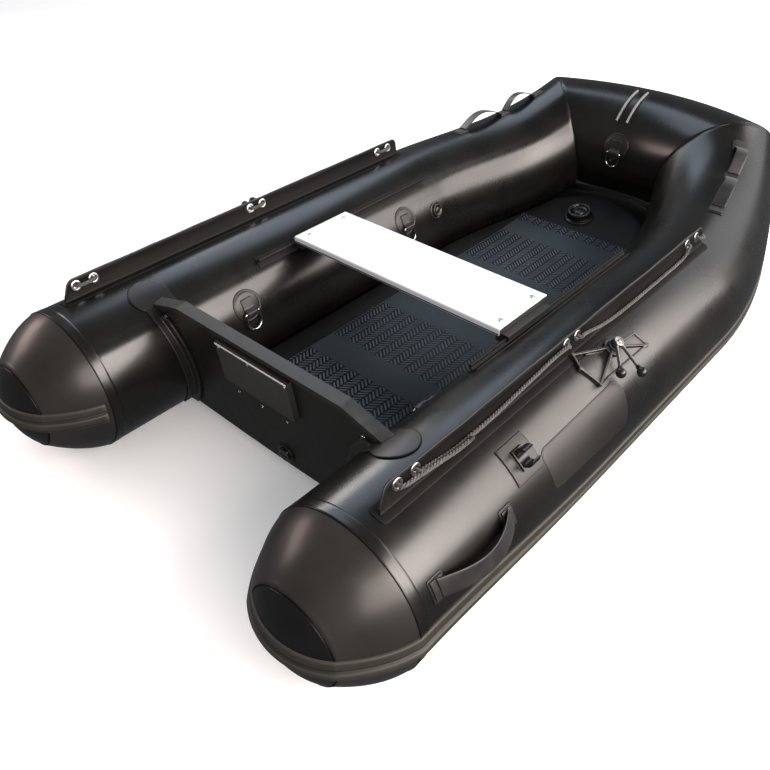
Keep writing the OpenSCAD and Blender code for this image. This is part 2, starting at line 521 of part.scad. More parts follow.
// bow handle: two arches over three pads on the shoulder of the bow quarter
BH_S = [0.40, 0.70, 0.93];
function bh_a(s) = 88.5 - 12.8*s;
function bow_arch(s0, s1, t) = let(s = lerp(s0, s1, t), h = 4.5 + 32*sin(180*t)) on_side(s, bh_a(s), h);
module patch_loft(s0, s1, a0, a1, h0, h1, ns, na) {
  loft([for (i = [0:ns]) let(s = lerp(s0, s1, i/ns)) concat(
    [for (j = [0:na]) on_side(s, lerp(a0, a1, j/na), h0)],
    [for (j = [na:-1:0]) on_side(s, lerp(a0, a1, j/na), h1)])]);
}
module bow_handle() {
  for (s = BH_S) patch_loft(s - 0.034, s + 0.034, bh_a(s) - 7, bh_a(s) + 7, 0.6, 4.6, 2, 4);
  for (k = [0, 1]) {
    s0 = BH_S[k] + 0.02; s1 = BH_S[k + 1] - 0.02;
    loft([for (i = [0:10]) let(t = i/10, c = bow_arch(s0, s1, t),
        d = unit(bow_arch(s0, s1, min(1, t + 0.02)) - bow_arch(s0, s1, max(0, t - 0.02))),
        w = side_tan(lerp(s0, s1, t), bh_a(lerp(s0, s1, t))), nrm = unit(cross(d, w)), r = strap_ring(c, w, -nrm, 19, 3))
      [r[0], r[1], r[2], r[3]]]);
  }
}
module port_bow_handle() { color("#1a1a1a") place() bow_handle(); }
module starboard_bow_handle() { color("#1a1a1a") place() other_side() bow_handle(); }

// ---------- D-ring patches and rings ----------
RING_X = [440, 1080];
PIV_A = 161;                // tube angle of the ring's bar, below the middle of its patch
PIV_H = 11;                 // ring bar above the tube skin
module shell(r0, r1) {
  difference() {
    translate([-60, 0, -R]) rotate([0, 90, 0]) cylinder(r = R + r1, h = 120);
    translate([-61, 0, -R]) rotate([0, 90, 0]) cylinder(r = R + r0, h = 122);
  }
}
// round patch with the strap and loop that carry the bar of the ring; g lifts it off the skin, h is the bar's height
module ring_patch(g, h) {
  intersection() { shell(g, g + 2.4); translate([0, 19.5, -40]) cylinder(r = 44, h = 60); }
  difference() {
    union() {
      intersection() { shell(g + 1, g + 5.2); translate([-17, -4, -20]) cube([34, 44, 40]); }
      translate([0, 0, h]) rotate([0, 90, 0]) cylinder(r = 6.2, h = 34, center = true);
      translate([-17, 0, g + 1]) cube([34, 12, h - g + 2]);
    }
    translate([0, 0, h]) rotate([0, 90, 0]) cylinder(r = 3.05, h = 60, center = true);
  }
}
// D: straight bar, two arms and a half ring, hanging along -y of its local frame
module dring() {
  rotate([0, 90, 0]) cylinder(r = 3, h = 46, center = true);
  for (s = [-1, 1]) {
    translate([s*23, 0, 0]) sphere(r = 3.3, $fn = 32);
    translate([s*23, 0, 0]) rotate([90, 0, 0]) cylinder(r = 3, h = 25);
  }
  translate([0, -25, 0]) intersection() {
    rotate_extrude() translate([23, 0]) circle(r = 3, $fn = 32);
    translate([-40, -60, -10]) cube([80, 60, 20]);
  }
}
// frame of a side patch, local y pointing up round the tube
module side_patch_frame(x) { translate([x, W, R]) rotate([PIV_A - 90, 0, 0]) translate([0, 0, R]) children(); }
module ring_patches() { for (x = RING_X) side_patch_frame(x) ring_patch(0, PIV_H); }
module port_ring_patches() { color("#2a2826") place() ring_patches(); }
module starboard_ring_patches() { color("#2a2826") place() other_side() ring_patches(); }
RING_REST = 7;              // the hanging ring leans this far towards the tube
module side_ring(x) { side_patch_frame(x) translate([0, 0, PIV_H]) rotate([RING_REST, 0, 0]) dring(); }
module port_aft_ring() { color("#c9c9c4") place() side_ring(RING_X[0]); }
module port_mid_ring() { color("#c9c9c4") place() side_ring(RING_X[1]); }
module starboard_aft_ring() { color("#c9c9c4") place() other_side() side_ring(RING_X[0]); }
module starboard_mid_ring() { color("#c9c9c4") place() other_side() side_ring(RING_X[1]); }

// bow rings: local frame on the bow tube, angle measured from the forward horizontal
module bow_frame(y, a) { translate([X3 - 60*y*y/(Y2*Y2), y, Z2]) rotate([0, 0, atan(120*y/(Y2*Y2))]) rotate([0, 90 - a, 0]) translate([0, 0, R]) rotate([0, 0, a > 90 ? -90 : 90]) children(); }
BOW_IN_Y = 26;
BOW_IN_A = 172;
TOW_A = -40;
module bow_ring_patch() { color("#2a2826") place() bow_frame(BOW_IN_Y, BOW_IN_A) ring_patch(2.4, PIV_H + 3); }
module tow_ring_patch() { color("#2a2826") place() bow_frame(0, TOW_A) ring_patch(0.6, PIV_H + 3); }
module bow_inner_ring() { color("#c9c9c4") place() bow_frame(BOW_IN_Y, BOW_IN_A) translate([0, 0, PIV_H + 3]) rotate([7, 0, 0]) dring(); }
module tow_ring() { color("#c9c9c4") place() bow_frame(0, TOW_A) translate([0, 0, PIV_H + 3]) rotate([-40, 0, 0]) dring(); }

// ---------- valves ----------
module valve() {
  difference() {
    union() {
      cylinder(r = 27, h = 5);
      cylinder(r = 20, h = 13);
    }
    for (a = [0:30:150]) rotate([0, 0, a]) translate([-30, -1, 10]) cube([60, 2, 6]);
  }
}
module air_valve() {
  intersection() {
    difference() {
      translate([1150, W, R]) rotate([0, 90, 0]) cylinder(r = R + 40, h = 160);
      translate([1149, W, R]) rotate([0, 90, 0]) cylinder(r = R, h = 162);
    }
    translate([1225, W, R]) rotate([160 - 90, 0, 0]) translate([0, 0, R - 3]) valve();
  }
}
module port_air_valve() { color("#0d0d0d") place() air_valve(); }
module starboard_air_valve() { color("#0d0d0d") place() other_side() air_valve(); }
module deck_valve() {
  z0 = deck_z(DK0); z1 = deck_z(DK1);
  color("#0d0d0d") place() translate([1705, 40, lerp(z0, z1, (1705 - DK0)/(DK1 - DK0)) + 55.1]) rotate([0, -atan((z1 - z0)/(DK1 - DK0)), 0]) {
    cylinder(r = 50, h = 6);
    cylinder(r = 40, h = 30);
  }
}

// ---------- blank side patches and anchor line guide ----------
module side_patch() {
  intersection() {
    difference() {
      translate([400, W, R]) rotate([0, 90, 0]) cylinder(r = R + 1.2, h = 360);
      translate([399, W, R]) rotate([0, 90, 0]) cylinder(r = R, h = 362);
    }
    skin_frame(0, 30) translate([0, 0, -60]) linear_extrude(90)
      polygon([[421, -30], [426, -45], [438, -50], [716, -53], [728, -44], [737, -19], [728, 36], [720, 53], [704, 58], [446, 46], [430, 42], [426, 30]]);
  }
}
module port_side_patch() { color("#2c2b29") place() side_patch(); }
module starboard_side_patch() { color("#2c2b29") place() other_side() side_patch(); }
module anchor_line_guide() {
  color("#3b3936") place() for (y = [13, 50]) translate([X3 - 60*y*y/(Y2*Y2) - 0.2, y, Z2]) rotate([90, 0, 0]) linear_extrude(6, center = true) difference() {
    intersection() {
      circle(r = R + 9);
      polygon([[0, 0], [400*cos(97), 400*sin(97)], [400*cos(119), 400*sin(119)], [400*cos(141), 400*sin(141)]]);
    }
    circle(r = R + 0.8);
  }
}

// the boat's length runs from the strake at the stern tip to the strake at the bow
x_min = min([for (p = strake_ring(st_stern(1, 1), 0.9)) p[0]]);
x_max = max([for (p = strake_ring(st_bow(0), 0.6)) p[0]]);
X_MID = (x_max + x_min)/2;

port_tube();
starboard_tube();
port_bow_quarter();
starboard_bow_quarter();
bow_tube();
port_stern_cone();
starboard_stern_cone();
port_end_cap();
starboard_end_cap();
port_rubbing_strake();
starboard_rubbing_strake();
hull_bottom();
floor_deck();
transom_board();
transom_top_rail();
outer_motor_pad();
inner_motor_pad();
port_transom_holder();
starboard_transom_holder();
drain_valve();
thwart_board();
thwart_channels();
port_thwart_rail();
starboard_thwart_rail();
port_lifeline_band();
starboard_lifeline_band();
port_grommets();
starboard_grommets();
port_lifeline();
starboard_lifeline();
port_rowlock_base();
starboard_rowlock_base();
port_rowlock();
starboard_rowlock();
port_oar_clip();
starboard_oar_clip();
port_carry_handle();
starboard_carry_handle();
port_bow_handle();
starboard_bow_handle();
port_ring_patches();
starboard_ring_patches();
bow_ring_patch();
tow_ring_patch();
port_aft_ring();
port_mid_ring();
starboard_aft_ring();
starboard_mid_ring();
bow_inner_ring();
tow_ring();
port_air_valve();
starboard_air_valve();
deck_valve();
port_side_patch();
starboard_side_patch();
anchor_line_guide();
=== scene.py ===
import bpy, bmesh, math
import numpy as np
from mathutils import Matrix, Vector


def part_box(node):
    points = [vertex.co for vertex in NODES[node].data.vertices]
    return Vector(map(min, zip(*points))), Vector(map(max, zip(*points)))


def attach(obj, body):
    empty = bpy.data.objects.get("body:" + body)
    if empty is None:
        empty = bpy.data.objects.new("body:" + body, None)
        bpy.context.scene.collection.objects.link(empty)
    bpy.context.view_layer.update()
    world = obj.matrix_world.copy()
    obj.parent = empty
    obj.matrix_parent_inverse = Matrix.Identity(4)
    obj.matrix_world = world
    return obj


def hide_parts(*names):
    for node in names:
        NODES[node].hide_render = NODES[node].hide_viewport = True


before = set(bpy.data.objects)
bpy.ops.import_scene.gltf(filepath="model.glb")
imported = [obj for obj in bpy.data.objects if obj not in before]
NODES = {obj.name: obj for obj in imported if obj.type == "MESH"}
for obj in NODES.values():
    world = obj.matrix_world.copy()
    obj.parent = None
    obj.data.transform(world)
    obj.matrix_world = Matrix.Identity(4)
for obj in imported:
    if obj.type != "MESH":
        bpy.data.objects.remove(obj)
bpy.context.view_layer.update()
XM = -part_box("port_tube")[0].x*1000     # x of the cone seam, in mm

# ------------------------------------------------------------------ numbers of the boat, in mm
R, WD, X1, X2, Y2, Z2, X3 = 185.0, 474.0, 1274.0, 1976.0, 285.5, 296.3, 2036.0
CONE_L, CONE_E, CAP_D = 130.0, 108.5, 38.0
RAKE, BOARD_T, HB = 6.5, 27.0, 337.0
TH_X, TH_W, TH_HL, TH_Z, TH_T = 653.0, 201.0, 341.0, 369.0, 18.0
BAND_A, BX0, BT, BAND_H = 79.0, 72.0, 4.0, 50.0
SIDES = (("port", 1), ("starboard", -1))


def unit(v):
    v = np.asarray(v, float)
    return v/np.linalg.norm(v, axis=-1, keepdims=True)


def lerp(a, b, t):
    return a + (b - a)*t


def smooth(t):
    t = np.clip(t, 0, 1)
    return t*t*(3 - 2*t)


def cosd(a):
    return np.cos(np.radians(a))


def sind(a):
    return np.sin(np.radians(a))


def T(x, y, z):
    m = np.eye(4)
    m[:3, 3] = (x, y, z)
    return m


def RX(a):
    m = np.eye(4)
    m[1:3, 1:3] = [[cosd(a), -sind(a)], [sind(a), cosd(a)]]
    return m


def RY(a):
    m = np.eye(4)
    m[0, 0], m[0, 2], m[2, 0], m[2, 2] = cosd(a), sind(a), -sind(a), cosd(a)
    return m


def RZ(a):
    m = np.eye(4)
    m[0:2, 0:2] = [[cosd(a), -sind(a)], [sind(a), cosd(a)]]
    return m


def app(M, p):
    p = np.asarray(p, float)
    return p @ M[:3, :3].T + M[:3, 3]


# ------------------------------------------------------------------ centre lines
def cl(s):
    if s <= 0:
        return np.array([X1 + s*(X2 - X1), WD, R])
    return np.array([X1 + s*(X2 - X1), WD - (WD - Y2)*s**1.774, R + (Z2 - R)*s**3.5])


def cl_t(s):
    if s <= 0:
        return np.array([1.0, 0, 0])
    return unit([X2 - X1, -(WD - Y2)*1.774*s**0.774, (Z2 - R)*3.5*s**2.5])


def cl_n(s):
    t = cl_t(s)
    return unit([-t[1], t[0], 0])


def cl_b(s):
    return np.cross(cl_t(s), cl_n(s))


def on_side(s, a, h):
    return cl(s) + (R + h)*(cosd(a)*cl_n(s) + sind(a)*cl_b(s))


def side_nrm(s, a):
    return cosd(a)*cl_n(s) + sind(a)*cl_b(s)


def side_tan(s, a):
    return -sind(a)*cl_n(s) + cosd(a)*cl_b(s)


def bl(v):
    return np.array([X2 + (X3 - X2)*(1 - v*v), Y2*v, Z2])


def bl_t(v):
    return unit([2*v*(X3 - X2), -Y2, 0])


def bl_n(v):
    t = bl_t(v)
    return np.array([-t[1], t[0], 0])


KT, KD = cl_t(1), bl_t(1)


def side_plane(s):
    return unit(cl_t(s) + np.clip((s - 0.5)/0.5, 0, 1)**2*KD)


def bow_plane(v):
    return unit(bl_t(v) + abs(v)**3*(KT if v >= 0 else np.array([-KT[0], KT[1], -KT[2]])))


# frames on the skin: local x forward, y towards the outboard side, z away from the tube
def skinM(x, a):
    return T(x, WD, R) @ RX(a - 90) @ T(0, 0, R)


def bowM(y, a):
    return T(X3 - 60*y*y/(Y2*Y2), y, Z2) @ RZ(math.degrees(math.atan(120*y/(Y2*Y2)))) @ RY(90 - a) @ T(0, 0, R) @ RZ(-90 if a > 90 else 90)


def wrap(p):
    """Local (u, v, h) to a frame point bent round the tube."""
    p = np.asarray(p, float)
    f = p[..., 1]/R
    return np.stack([p[..., 0], (R + p[..., 2])*np.sin(f), (R + p[..., 2])*np.cos(f) - R], -1)


# ------------------------------------------------------------------ mesh building
class Piece:
    def __init__(self, name):
        self.name, self.v, self.f, self.fm, self.uv, self.n = name, [], [], [], [], 0

    def add(self, verts, faces, mat=0, uv=None):
        verts = np.asarray(verts, float).reshape(-1, 3)
        self.v.append(verts)
        for f in faces:
            self.f.append([int(i) + self.n for i in f])
        self.fm += [mat]*len(faces)
        self.uv.append(np.zeros((len(verts), 2)) if uv is None else np.asarray(uv, float).reshape(-1, 2))
        self.n += len(verts)
        return self

    def build(self, mats, body="hull", replaces=(), slot=None, mirror=False, flat=False, angle=None, name=None, attrs=None):
        v = np.concatenate(self.v).copy()
        if mirror:
            v[:, 1] *= -1
        v[:, 0] -= XM
        me = bpy.data.meshes.new(name or self.name)
        me.from_pydata((v/1000).tolist(), [], self.f)
        for m in mats:
            me.materials.append(m)
        me.polygons.foreach_set("material_index", np.array(self.fm, np.int32))
        uv = np.concatenate(self.uv)/1000
        layer = me.uv_layers.new(name="UVMap")
        idx = np.zeros(len(me.loops), np.int32)
        me.loops.foreach_get("vertex_index", idx)
        layer.data.foreach_set("uv", uv[idx].astype(np.float32).ravel())
        bm = bmesh.new()
        bm.from_mesh(me)
        bmesh.ops.recalc_face_normals(bm, faces=bm.faces)
        bm.to_mesh(me)
        bm.free()
        me.polygons.foreach_set("use_smooth", [not flat]*len(me.polygons))
        if angle and not flat:
            me.set_sharp_from_angle(angle=math.radians(angle))
        me.update()
        o = bpy.data.objects.new(name or self.name, me)
        bpy.context.scene.collection.objects.link(o)
        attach(o, body)
        if replaces:
            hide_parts(*replaces)
        return o


def grid_faces(m, n, cu=False, cv=False):
    i = np.arange(m if cu else m - 1)
    j = np.arange(n if cv else n - 1)
    a, b = np.meshgrid(i, j, indexing="ij")
    a2, b2 = (a + 1) % m, (b + 1) % n
    return np.stack([a*n + b, a2*n + b, a2*n + b2, a*n + b2], -1).reshape(-1, 4).tolist()


def loft(piece, rings, mat=0, caps=True, closed=False, uv=None):
    """rings: m x n x 3, each ring closed."""
    rings = np.asarray(rings, float)
    m, n = rings.shape[:2]
    faces = grid_faces(m, n, closed, True)
    if caps and not closed:
        faces += [list(range(n)), [(m - 1)*n + j for j in range(n - 1, -1, -1)]]
    if uv is None:
        du = np.linalg.norm(np.diff(rings.mean(1), axis=0), axis=1)
        dv = np.linalg.norm(np.roll(rings, -1, 1) - rings, axis=2).mean(0)
        u = np.concatenate([[0], np.cumsum(du)])
        w = np.concatenate([[0], np.cumsum(dv)[:-1]])
        uv = np.stack(np.meshgrid(u, w, indexing="ij"), -1)
    return piece.add(rings.reshape(-1, 3), faces, mat, uv)


def frames_along(P, closed=False, start=None):
    P = np.asarray(P, float)
    n = len(P)
    if closed:
        t = unit(np.roll(P, -1, 0) - np.roll(P, 1, 0))
    else:
        t = unit(np.gradient(P, axis=0))
    u = np.zeros_like(P)
    ref = np.array([0, 0, 1.0]) if start is None else np.asarray(start, float)
    if abs(ref @ t[0]) > 0.95:
        ref = np.array([0, 1.0, 0])
    u[0] = unit(ref - (ref @ t[0])*t[0])
    for i in range(1, n):
        w = u[i - 1] - (u[i - 1] @ t[i])*t[i]
        u[i] = unit(w)
    return t, u, np.cross(t, u)


def sweep(piece, P, r, n=12, closed=False, mat=0, start=None, squash=1.0):
    P = np.asarray(P, float)
    t, u, w = frames_along(P, closed, start)
    r = np.broadcast_to(np.asarray(r, float), (len(P),))
    a = np.arange(n)*2*math.pi/n
    rings = P[:, None] + r[:, None, None]*(np.cos(a)[None, :, None]*u[:, None] + squash*np.sin(a)[None, :, None]*w[:, None])
    return loft(piece, rings, mat, True, closed)


def round_ends(P, r, k=4):
    """Radii and points that end a rod in a dome."""
    P = np.asarray(P, float)
    t0, t1 = unit(P[0] - P[1]), unit(P[-1] - P[-2])
    a = np.linspace(0, math.pi/2*0.97, k + 1)
    head = [P[0] + t0*r*math.sin(x) for x in a[::-1]]
    tail = [P[-1] + t1*r*math.sin(x) for x in a]
    rad = [r*math.cos(x) for x in a[::-1]] + [r]*(len(P) - 2) + [r*math.cos(x) for x in a]
    return np.array(head + list(P[1:-1]) + tail), np.array(rad)


def lathe(piece, prof, M=None, n=48, mat=0, loop=False, mod=None):
    """prof: (r, z) list about local z. loop joins the last point to the first."""
    prof = np.asarray(prof, float)
    a = np.arange(n)*2*math.pi/n
    rr = np.repeat(prof[:, :1], n, 1)
    if mod is not None:
        rr = np.array([[mod(prof[i, 0], prof[i, 1], x) for x in a] for i in range(len(prof))])
    v = np.stack([rr*np.cos(a), rr*np.sin(a), np.repeat(prof[:, 1:2], n, 1)], -1)
    if M is not None:
        v = app(M, v)
    return loft(piece, v, mat, not loop, loop)


def rbox(piece, lo, hi, r=1.0, M=None, mat=0, seg=2):
    bm = bmesh.new()
    bmesh.ops.create_cube(bm, size=1)
    lo, hi = np.array(lo, float), np.array(hi, float)
    for v in bm.verts:
        v.co = Vector((lo + hi)/2 + np.array(v.co)*(hi - lo))
    r = min(r, 0.45*float((hi - lo).min()))
    bmesh.ops.bevel(bm, geom=bm.edges[:], offset=r, segments=seg, profile=0.5, affect="EDGES")
    bm.verts.ensure_lookup_table()
    p = np.array([v.co[:] for v in bm.verts])
    f = [[v.index for v in q.verts] for q in bm.faces]
    bm.free()
    return piece.add(p if M is None else app(M, p), f, mat, p[:, :2])


def catmull(P, step=2.0):
    P = np.asarray(P, float)
    Q = np.vstack([2*P[0] - P[1], P, 2*P[-1] - P[-2]])
    out = []
    for i in range(1, len(Q) - 2):
        p0, p1, p2, p3 = Q[i - 1:i + 3]
        d = [max(1e-6, np.linalg.norm(b - a)**0.5) for a, b in ((p0, p1), (p1, p2), (p2, p3))]
        t0 = 0.0
        t1, t2, t3 = d[0], d[0] + d[1], d[0] + d[1] + d[2]
        n = max(2, int(round(np.linalg.norm(p2 - p1)/step)))
        for t in np.linspace(t1, t2, n, endpoint=False):
            a1 = (t1 - t)/(t1 - t0)*p0 + (t - t0)/(t1 - t0)*p1
            a2 = (t2 - t)/(t2 - t1)*p1 + (t - t1)/(t2 - t1)*p2
            a3 = (t3 - t)/(t3 - t2)*p2 + (t - t2)/(t3 - t2)*p3
            b1 = (t2 - t)/(t2 - t0)*a1 + (t - t0)/(t2 - t0)*a2
            b2 = (t3 - t)/(t3 - t1)*a2 + (t - t1)/(t3 - t1)*a3
            out.append((t2 - t)/(t2 - t1)*b1 + (t - t1)/(t2 - t1)*b2)
    out.append(Q[-2])
    return np.array(out)


def resample(P, step):
    P = np.asarray(P, float)
    d = np.concatenate([[0], np.cumsum(np.linalg.norm(np.diff(P, axis=0), axis=1))])
    n = max(2, int(round(d[-1]/step)) + 1)
    q = np.linspace(0, d[-1], n)
    return np.stack([np.interp(q, d, P[:, k]) for k in range(3)], -1), d[-1]


def rounded(poly, r, k=5):
    """Convex polygon with its corners rounded."""
    poly = np.asarray(poly, float)
    out, n = [], len(poly)
    for i in range(n):
        a, b, c = poly[i - 1], poly[i], poly[(i + 1) % n]
        ua, uc = unit(a - b), unit(c - b)
        ang = math.acos(float(np.clip(ua @ uc, -1, 1)))
        d = min(r/math.tan(ang/2), 0.45*np.linalg.norm(a - b), 0.45*np.linalg.norm(c - b))
        p0, p1 = b + ua*d, b + uc*d
        for t in np.linspace(0, 1, k + 1):
            out.append((1 - t)**2*p0 + 2*t*(1 - t)*b + t*t*p1)
    return np.array(out)


def densify(poly, step=4.0):
    out = []
    for i in range(len(poly)):
        a, b = poly[i], poly[(i + 1) % len(poly)]
        n = max(1, int(round(np.linalg.norm(b - a)/step)))
        out += [a + (b - a)*j/n for j in range(n)]
    return np.array(out)


def patch(piece, poly, prof, to, mat=0, h0=0.0, step=4.0, inner=6):
    """Closed thin sheet over an outline. prof: (distance in from the edge, height) list; to maps (u, v, h) to mm."""
    o = densify(poly, step)
    c = o.mean(0)
    rad = np.linalg.norm(o - c, axis=1)
    dirs = (c - o)/rad[:, None]
    rows = [np.column_stack([o, np.full(len(o), h0)])]
    for d, h in prof:
        dd = np.minimum(d, rad*0.9)
        rows.append(np.column_stack([o + dirs*dd[:, None], np.full(len(o), h)]))
    last = rows[-1]
    hl = prof[-1][1]
    for k in range(1, inner):
        q = last.copy()
        q[:, :2] = last[:, :2] + (c - last[:, :2])*k/inner
        q[:, 2] = hl
        rows.append(q)
    n = len(o)
    v = np.concatenate(rows)
    top = len(v)
    v = np.vstack([v, [c[0], c[1], hl], [c[0], c[1], h0]])
    f = grid_faces(len(rows), n, False, True)
    m = (len(rows) - 1)*n
    f += [[m + j, top, m + (j + 1) % n] for j in range(n)]
    f += [[j, (j + 1) % n, top + 1] for j in range(n)]
    return piece.add(to(v), f, mat, v[:, :2])


def stitches(piece, P, nrm, length=3.6, gap=2.0, r=0.45, mat=0, closed=False):
    """Thread lying in short humps along a line."""
    P = np.asarray(P, float)
    if closed:
        P = np.vstack([P, P[:1]])
    q, L = resample(P, 0.6)
    n = int(L/(length + gap))
    d = np.concatenate([[0], np.cumsum(np.linalg.norm(np.diff(q, axis=0), axis=1))])
    for k in range(n):
        s0 = k*(length + gap)
        ss = np.linspace(s0, s0 + length, 5)
        c = np.stack([np.interp(ss, d, q[:, i]) for i in range(3)], -1)
        nn = nrm(c)
        c = c + nn*(np.array([-0.35, 0.15, 0.3, 0.15, -0.35])*r)[:, None]
        sweep(piece, c, np.array([0.5, 0.95, 1, 0.95, 0.5])*r, 6, mat=mat, start=nn[0])


def screw(piece, M, r=5.0, h=1.8, slot=True, mat=0, washer=None):
    if washer:
        lathe(piece, [(washer - 0.4, -0.5), (washer, 0.1), (washer, 0.5), (washer - 0.5, 0.9), (r, 0.9), (r*0.5, 0.9)], M, 24, mat)
    z = 0.8 if washer else 0
    lathe(piece, [(r*0.9, z - 0.8), (r, z), (r*0.96, z + h*0.4), (r*0.8, z + h*0.8), (r*0.5, z + h), (r*0.42, z + h*0.98), (r*0.36, z + h*0.55), (r*0.1, z + h*0.5)],
          M, 24, mat, mod=(lambda rr, zz, a: rr*(1 + (0.25*math.cos(4*a) if rr < r*0.45 and rr > r*0.2 else 0))) if slot else None)


# ------------------------------------------------------------------ materials
class Nodes:
    def __init__(self, name):
        self.m = bpy.data.materials.new(name)
        self.m.use_nodes = True
        self.t = self.m.node_tree
        self.t.nodes.clear()
        self.out = self.t.nodes.new("ShaderNodeOutputMaterial")
        self.p = self.t.nodes.new("ShaderNodeBsdfPrincipled")
        self.t.links.new(self.p.outputs[0], self.out.inputs[0])
        self.co = self.t.nodes.new("ShaderNodeTexCoord")

    def link(self, a, b):
        self.t.links.new(a, b)

    def put(self, sock, v):
        if isinstance(v, bpy.types.NodeSocket):
            self.link(v, sock)
        else:
            sock.default_value = v

    def noise(self, scale, detail=4.0, rough=0.55, vec=None, dist=0.0):
        n = self.t.nodes.new("ShaderNodeTexNoise")
        self.link(vec or self.co.outputs["Object"], n.inputs["Vector"])
        n.inputs["Scale"].default_value, n.inputs["Detail"].default_value = scale, detail
        n.inputs["Roughness"].default_value, n.inputs["Distortion"].default_value = rough, dist
        return n.outputs["Fac"]

    def voronoi(self, scale, vec=None, feature="F1", out="Distance"):
        n = self.t.nodes.new("ShaderNodeTexVoronoi")
        n.feature = feature
        self.link(vec or self.co.outputs["Object"], n.inputs["Vector"])
        n.inputs["Scale"].default_value = scale
        return n.outputs[out]

    def wave(self, period, axis="X", vec=None, dist=0.0, profile="SIN"):
        n = self.t.nodes.new("ShaderNodeTexWave")
        n.wave_type, n.bands_direction, n.wave_profile = "BANDS", axis, profile
        self.link(vec or self.co.outputs["UV"], n.inputs["Vector"])
        n.inputs["Scale"].default_value = 0.31416/period
        n.inputs["Distortion"].default_value = dist
        n.inputs["Detail"].default_value = 0
        return n.outputs["Fac"]

    def ramp(self, fac, stops, interp="LINEAR"):
        n = self.t.nodes.new("ShaderNodeValToRGB")
        n.color_ramp.interpolation = interp
        el = n.color_ramp.elements
        while len(el) > 1:
            el.remove(el[-1])
        for i, (p, c) in enumerate(stops):
            e = el[0] if i == 0 else el.new(p)
            e.position, e.color = p, (*c, 1) if len(c) == 3 else c
        self.link(fac, n.inputs["Fac"])
        return n.outputs["Color"]

    def rng(self, v, a, b, c, d):
        n = self.t.nodes.new("ShaderNodeMapRange")
        self.put(n.inputs["Value"], v)
        for k, x in zip(("From Min", "From Max", "To Min", "To Max"), (a, b, c, d)):
            self.put(n.inputs[k], x)
        return n.outputs["Result"]

    def math(self, op, a, b=0.0, c=None, clamp=False):
        n = self.t.nodes.new("ShaderNodeMath")
        n.operation, n.use_clamp = op, clamp
        self.put(n.inputs[0], a)
        self.put(n.inputs[1], b)
        if c is not None:
            self.put(n.inputs[2], c)
        return n.outputs[0]

    def mix(self, fac, a, b, kind="MIX"):
        n = self.t.nodes.new("ShaderNodeMix")
        n.data_type, n.blend_type = "RGBA", kind
        self.put(n.inputs[0], fac)
        self.put(n.inputs[6], a if isinstance(a, bpy.types.NodeSocket) else (*a, 1))
        self.put(n.inputs[7], b if isinstance(b, bpy.types.NodeSocket) else (*b, 1))
        return n.outputs[2]

    def sep(self, vec=None):
        n = self.t.nodes.new("ShaderNodeSeparateXYZ")
        self.link(vec or self.co.outputs["UV"], n.inputs[0])
        return n.outputs

    def mapping(self, vec, scale=(1, 1, 1), rot=(0, 0, 0)):
        n = self.t.nodes.new("ShaderNodeMapping")
        self.link(vec, n.inputs["Vector"])
        n.inputs["Scale"].default_value = scale
        n.inputs["Rotation"].default_value = rot
        return n.outputs["Vector"]

    def bump(self, height, strength, distance, normal=None):
        n = self.t.nodes.new("ShaderNodeBump")
        self.put(n.inputs["Height"], height)
        n.inputs["Strength"].default_value, n.inputs["Distance"].default_value = strength, distance
        if normal is not None:
            self.link(normal, n.inputs["Normal"])
        return n.outputs["Normal"]

    def edges(self, lo=0.5, hi=0.56):
        g = self.t.nodes.new("ShaderNodeNewGeometry")
        return self.rng(g.outputs["Pointiness"], lo, hi, 0.0, 1.0)

    def done(self, color, rough, normal=None, metallic=0.0, spec=0.5, coat=0.0, coat_rough=0.1, sheen=0.0, sheen_rough=0.4, ior=1.5):
        p = self.p.inputs
        self.put(p["Base Color"], color if isinstance(color, bpy.types.NodeSocket) else (*color, 1))
        self.put(p["Roughness"], rough)
        p["Metallic"].default_value = metallic
        p["Specular IOR Level"].default_value = spec
        p["IOR"].default_value = ior
        p["Coat Weight"].default_value, p["Coat Roughness"].default_value = coat, coat_rough
        p["Sheen Weight"].default_value, p["Sheen Roughness"].default_value = sheen, sheen_rough
        if normal is not None:
            self.link(normal, p["Normal"])
        return self.m


def weave_height(n, period, vec=None):
    a = n.wave(period, "X", vec)
    b = n.wave(period, "Y", vec)
    return n.math("MULTIPLY", a, b)


def pvc(name, dark, light, r0=0.27, r1=0.40, coat=0.25, fine=0.10, soft=0.6, spec=0.55):
    """Coated fabric of the tubes: satin gloss, slight blotches, weave just showing through, soft waviness from the pressure."""
    n = Nodes(name)
    blot = n.noise(5.5, 5, 0.6)
    dust = n.noise(60, 6, 0.7)
    col = n.mix(n.rng(blot, 0.35, 0.7, 0, 1), dark, light)
    col = n.mix(n.rng(dust, 0.55, 0.85, 0, 0.10), col, tuple(min(1, 2.0*c + 0.006) for c in light))
    rough = n.math("ADD", n.rng(blot, 0.3, 0.75, r0, r1), n.rng(dust, 0.4, 0.8, -0.004, 0.008))
    big = n.bump(n.noise(6, 2, 0.5), soft*0.35, 0.004)
    mid = n.bump(n.noise(30, 2, 0.45), 0.06, 0.0007, big)
    nor = n.bump(weave_height(n, 0.0016), fine, 0.00006, mid)
    return n.done(col, rough, nor, coat=coat, coat_rough=0.22, spec=spec)


def m_plastic(name, c0, c1, r0=0.30, r1=0.45, grain=700, gb=0.18, coat=0.12, edge=(0.06, 0.06, 0.058), edge_highlight_w=0.35, spec=0.5):
    n = Nodes(name)
    a = n.noise(26, 5, 0.6)
    g = n.noise(grain, 3, 0.6)
    e = n.edges(0.51, 0.58)
    col = n.mix(n.rng(a, 0.3, 0.72, 0, 1), c0, c1)
    # convex edges are painted lighter towards the edge colour: a painted highlight where the edges catch the light
    col = n.mix(n.math("MULTIPLY", e, edge_highlight_w), col, edge)
    return n.done(col, n.rng(a, 0.3, 0.7, r0, r1), n.bump(g, gb, 0.00012), coat=coat, coat_rough=0.2, spec=spec)


